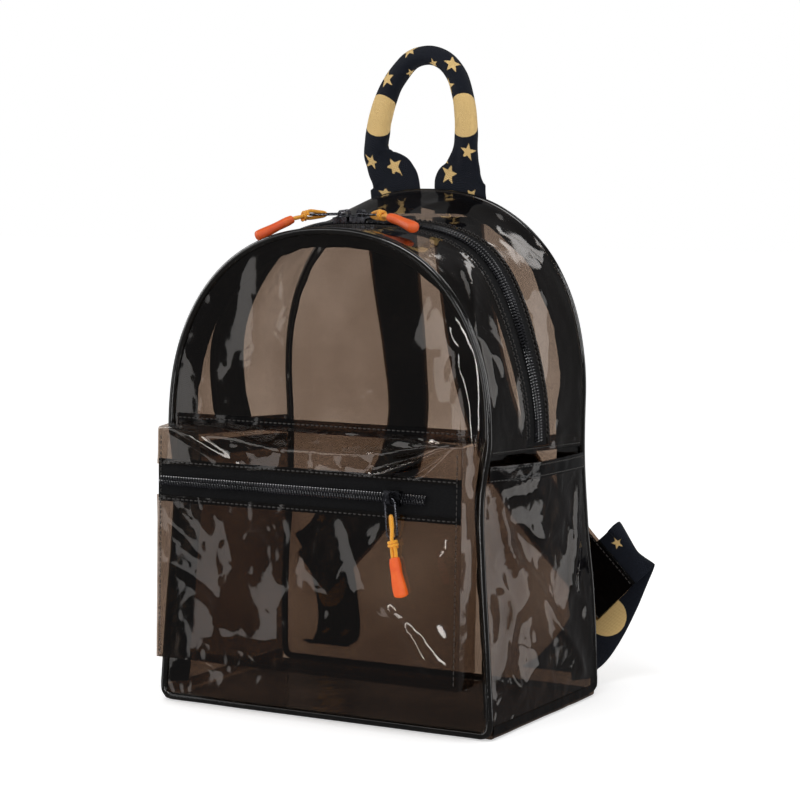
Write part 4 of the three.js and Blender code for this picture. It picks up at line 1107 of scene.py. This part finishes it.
# Ring, cord and grip: heading and lift of each, then the cord's slack and the grip's bow
PULLS = {
    "main_left": ((228, 233, 228), (1.3, 1.25, 0.75), 0.4, 0.6),
    "main_right": ((-33, -27, -20), (1.0, 1.0, 0.8), 0.34, -1.3),
    "pocket": ((-83, -83, -77), (0.64, 0.6, 0.6), 0.5, 0.5),
}


def turn_at_x(x, depth):
    """Where on the arch the film passes above x."""
    low, high = -0.5, 0.5
    for _ in range(30):
        middle = (low + high) / 2
        if float(outline(np.array(middle), depth, seam_height(depth), 0)[0]) < x:
            low = middle
        else:
            high = middle
    return low


def above_gusset(x, y, lift):
    depth = (y / (half_depth(FRONT_HEIGHT) - PIPING_EDGE) + 1) / 2
    z = float(gusset(np.array(turn_at_x(x, depth)), depth, seam_height(depth))[2])
    return np.array([x, y, z + lift])


def before_pocket(x, z, lift):
    return np.array([x, pocket_y(z) - POCKET_BULGE - lift, z])


def bevelled(name, cad, material, width):
    """A copy of a hard solid with softened edges."""
    piece = bpy.data.objects.new(name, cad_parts[cad].data.copy())
    piece.data.materials.clear()
    piece.data.materials.append(material)
    scene.collection.objects.link(piece)
    edge = piece.modifiers.new("edge", "BEVEL")
    edge.width, edge.segments = width * 0.001, 3
    edge.limit_method, edge.angle_limit = "ANGLE", math.radians(35)
    edge.harden_normals = False
    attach(piece, "root")
    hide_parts(cad)


def ring_line(near, end, along, beside):
    """A long ring's closed middle line: two half circles and the straight runs between."""
    loop = []
    turn = column(14, 0, np.pi)
    for tip, sign in ((near, -RING_HALF), (end, RING_HALF)):
        loop.append(tip - along * sign - beside * sign * np.cos(turn) + along * sign * np.sin(turn))
    return catmull(np.concatenate(loop), 110, loop=True)


def cord_line(near, ring_end, cord_end, knot, slack, along, beside, flat):
    """The cord's line: from the grip, through the ring and back, as two strands side by side."""
    to_grip = unit(cord_end - ring_end)
    bend = mix(ring_end, near, slack)
    out, back = ([
        cord_end + to_grip * 3 + beside * sign,
        mix(ring_end, cord_end, 0.62) + beside * 1.25 * sign,
        knot + beside * 0.95 * sign + flat * 0.9 * sign,
        ring_end + flat * 2.3 * sign + beside * 0.8 * sign,
        mix(ring_end, bend, 0.6) + flat * 1.7 * sign + beside * 1.3 * sign,
    ] for sign in (1, -1))
    arc = [bend + flat * 1.1 + beside, bend + along * -1.6, bend - flat * 1.1 - beside]
    return catmull(np.array(out + arc + back[::-1]), 200)


def grip_rings(start, end, flat, bow):
    """The moulded grip: round ends, a waist and fine lines across its narrow end."""
    share = np.concatenate([[0.0, 0.004], np.linspace(0.012, 0.988, 60), [0.996, 1.0]])
    across = unit(np.cross(end - start, flat))
    high = unit(np.cross(across, end - start))
    centre = start + share[:, None] * (end - start) + across * (bow * np.sin(np.pi * share))[:, None]
    end_round = np.sqrt(np.clip(1 - np.clip((share - 0.93) / 0.07, 0, 1) ** 2, 0.02, 1))
    start_round = np.sqrt(np.clip(1 - np.clip((0.02 - share) / 0.02, 0, 1) ** 2, 0.25, 1))
    lines = 1 - 0.035 * (np.cos(share * 2 * np.pi * 26) > 0.2) * (share < 0.3) * (share > 0.06)
    size = end_round * start_round * lines / 2
    c, d = circle(36)
    wide = (GRIP_WIDTH * read(GRIP[:, 0], GRIP[:, 1], share) * size)[:, None] * rounded(c, 0.85)
    deep = (GRIP_THICKNESS * read(GRIP[:, 0], GRIP[:, 2], share) * size)[:, None] * rounded(d, 0.85)
    return centre[:, None] + wide[..., None] * across + deep[..., None] * high


def zip_pull(prefix, point, out, flat, start, over):
    """A slider with its ring, its knotted cord and its grip; over() places a point above the film."""
    headings, lifts, slack, bow = PULLS[prefix]
    at, stations = np.asarray(start, float), []
    for heading, length, lift in zip(headings, (RING_LENGTH, CORD_REACH, GRIP_LENGTH), lifts):
        at = at + length * np.array([math.cos(math.radians(heading)), math.sin(math.radians(heading))])
        stations.append(over(at[0], at[1], GRIP_THICKNESS * lift))
    ring_end, cord_end, grip_end = stations
    near = point + out * BRIDGE_MIDDLE
    along = unit(ring_end - near)
    beside = unit(np.cross(flat, along))
    rings = round_rings(ring_line(near, ring_end, along, beside), RING_WIRE, 12, flat, loop=True)
    tube(f"{prefix}_ring", rings, gunmetal, f"{prefix}_pull_ring", loop=True)
    flat = unit(flat - along * np.dot(flat, along))
    knot = mix(ring_end, cord_end, KNOT_AT)
    line = cord_line(near, ring_end, cord_end, knot, slack, along, beside, flat)
    rings = round_rings(line, CORD_RADIUS, 14, beside + 0.3 * flat)
    tube(f"{prefix}_cord", rings, orange_cord, f"{prefix}_pull_cord")
    to_grip = unit(cord_end - ring_end)
    turn = column(90, 0, 2 * np.pi * KNOT_TURNS)
    wrap = knot + to_grip * (turn / (2 * np.pi) - 0.9) * 1.9
    wrap = wrap + beside * 2.5 * np.cos(turn) + flat * 2.4 * np.sin(turn)
    tube(f"{prefix}_knot", round_rings(wrap, KNOT_RADIUS, 12, to_grip), orange_cord)
    tube(f"{prefix}_grip", grip_rings(cord_end, grip_end, flat, bow), orange_rubber, f"{prefix}_pull_grip")
    bevelled(f"{prefix}_slider_body", f"{prefix}_slider", gunmetal, 0.35)


SLIDERS_X, SLIDERS_APART, POCKET_SLIDER_X = -12.5, 6.5, HALF_POCKET - 45.5
for prefix, side in (("main_left", -1), ("main_right", 1)):
    turn = turn_at_x(SLIDERS_X + side * SLIDERS_APART, float(zip_depth(0.0)))
    point, _, _, out = arch_frame(np.array(turn))
    zip_pull(prefix, point, out, np.array([0.0, 0, 1.0]), point[:2], above_gusset)
point = np.array([POCKET_SLIDER_X, pocket_y(POCKET_ZIP), POCKET_ZIP])
zip_pull("pocket", point, out_dir, np.array([0.0, -1.0, 0]), (POCKET_SLIDER_X, POCKET_ZIP), before_pocket)

# Floor, light and camera


def direction(azimuth, elevation):
    """From the bag: azimuth in degrees from its front towards its right side, elevation above level."""
    a, e = math.radians(azimuth), math.radians(elevation)
    return Vector((math.sin(a) * math.cos(e), -math.cos(a) * math.cos(e), math.sin(e)))


def aimed(name, data, target, away, distance):
    """Puts a lamp or a camera at a distance from the target, looking at it."""
    made = bpy.data.objects.new(name, data)
    scene.collection.objects.link(made)
    made.location = Vector(target) + away * distance
    made.rotation_mode = "QUATERNION"
    made.rotation_quaternion = away.to_track_quat("Z", "Y")
    return made


FLOOR_SIZE, FLOOR_DROP = 14, 0.0004
bpy.ops.mesh.primitive_plane_add(size=FLOOR_SIZE, location=(0, 0, -FLOOR_DROP))
floor = bpy.context.object
floor.name = "floor"
floor_material, tree = new_material("floor")
tone = speckled(tree, place(tree), 3.0, 3.0)
principled(tree, Base_Color=blended(tree, tone, (0.88, 0.88, 0.88, 1), (0.92, 0.92, 0.92, 1)), Roughness=0.9,
           Specular_IOR_Level=0.0, Emission_Color=(1.0, 1.0, 1.0, 1.0), Emission_Strength=0.52)
floor.data.materials.append(floor_material)
floor.visible_glossy = False

# What the camera sees is white, what the film mirrors is dim, and the rest fills the shadows
world = bpy.data.worlds.new("studio")
scene.world = world
world.use_nodes = True
tree = world.node_tree
tree.nodes.clear()
path = node(tree, "LightPath")
seen, mirrored, fill = (
    node(tree, "Background", {"Color": colour, "Strength": strength}).outputs[0]
    for colour, strength in (((1, 1, 1, 1), 1.0), ((0.95, 0.97, 1, 1), 0.09), ((1, 1, 1, 1), 0.55))
)
both = node(tree, "MixShader", {0: path.outputs["Is Glossy Ray"], 1: fill, 2: mirrored}).outputs[0]
both = node(tree, "MixShader", {0: path.outputs["Is Camera Ray"], 1: both, 2: seen}).outputs[0]
node(tree, "OutputWorld", {"Surface": both})

# Soft boxes: azimuth, elevation, width, height and power. All but the key show only as reflections
LIGHT_TARGET, LIGHT_DISTANCE = (0, 0, 0.17), 1.6
LIGHTS = {
    "left_wide": (-52, 6, 0.88, 1.3, 3.4), "left_bright": (-84, 26, 0.3, 1.0, 7.0),
    "upper_left": (-36, 44, 0.8, 0.6, 1.7), "right_wide": (131, 6, 0.8, 1.2, 2.9),
    "right_bright": (106, 22, 0.16, 1.0, 4.5), "back_bright": (174, 36, 0.6, 0.17, 0.6),
    "back_wide": (150, 62, 0.9, 0.5, 1.2), "front_strip": (12, 10, 0.14, 1.1, 4.4),
    "right_strip": (62, 20, 0.1, 1.0, 4.2), "key_box": (8, 62, 0.8, 0.5, 7.0),
}
for name, (azimuth, elevation, wide, high, power) in LIGHTS.items():
    light = bpy.data.lights.new(name, "AREA")
    light.shape = "RECTANGLE"
    light.size, light.size_y, light.energy = wide, high, power
    lamp = aimed(name, light, LIGHT_TARGET, direction(azimuth, elevation), LIGHT_DISTANCE)
    lamp.visible_diffuse = name == "key_box"

camera = bpy.data.cameras.new("camera")
camera.sensor_width = 36
camera.lens = 111.8
camera.shift_x, camera.shift_y = 0.0253, 0.0662
camera.clip_start, camera.clip_end = 0.05, 40
scene.camera = aimed("camera", camera, (0, 0, 0.16), direction(29.777, 6.893), 1.6)

scene.view_settings.view_transform = "Standard"
scene.cycles.transparent_max_bounces = 64
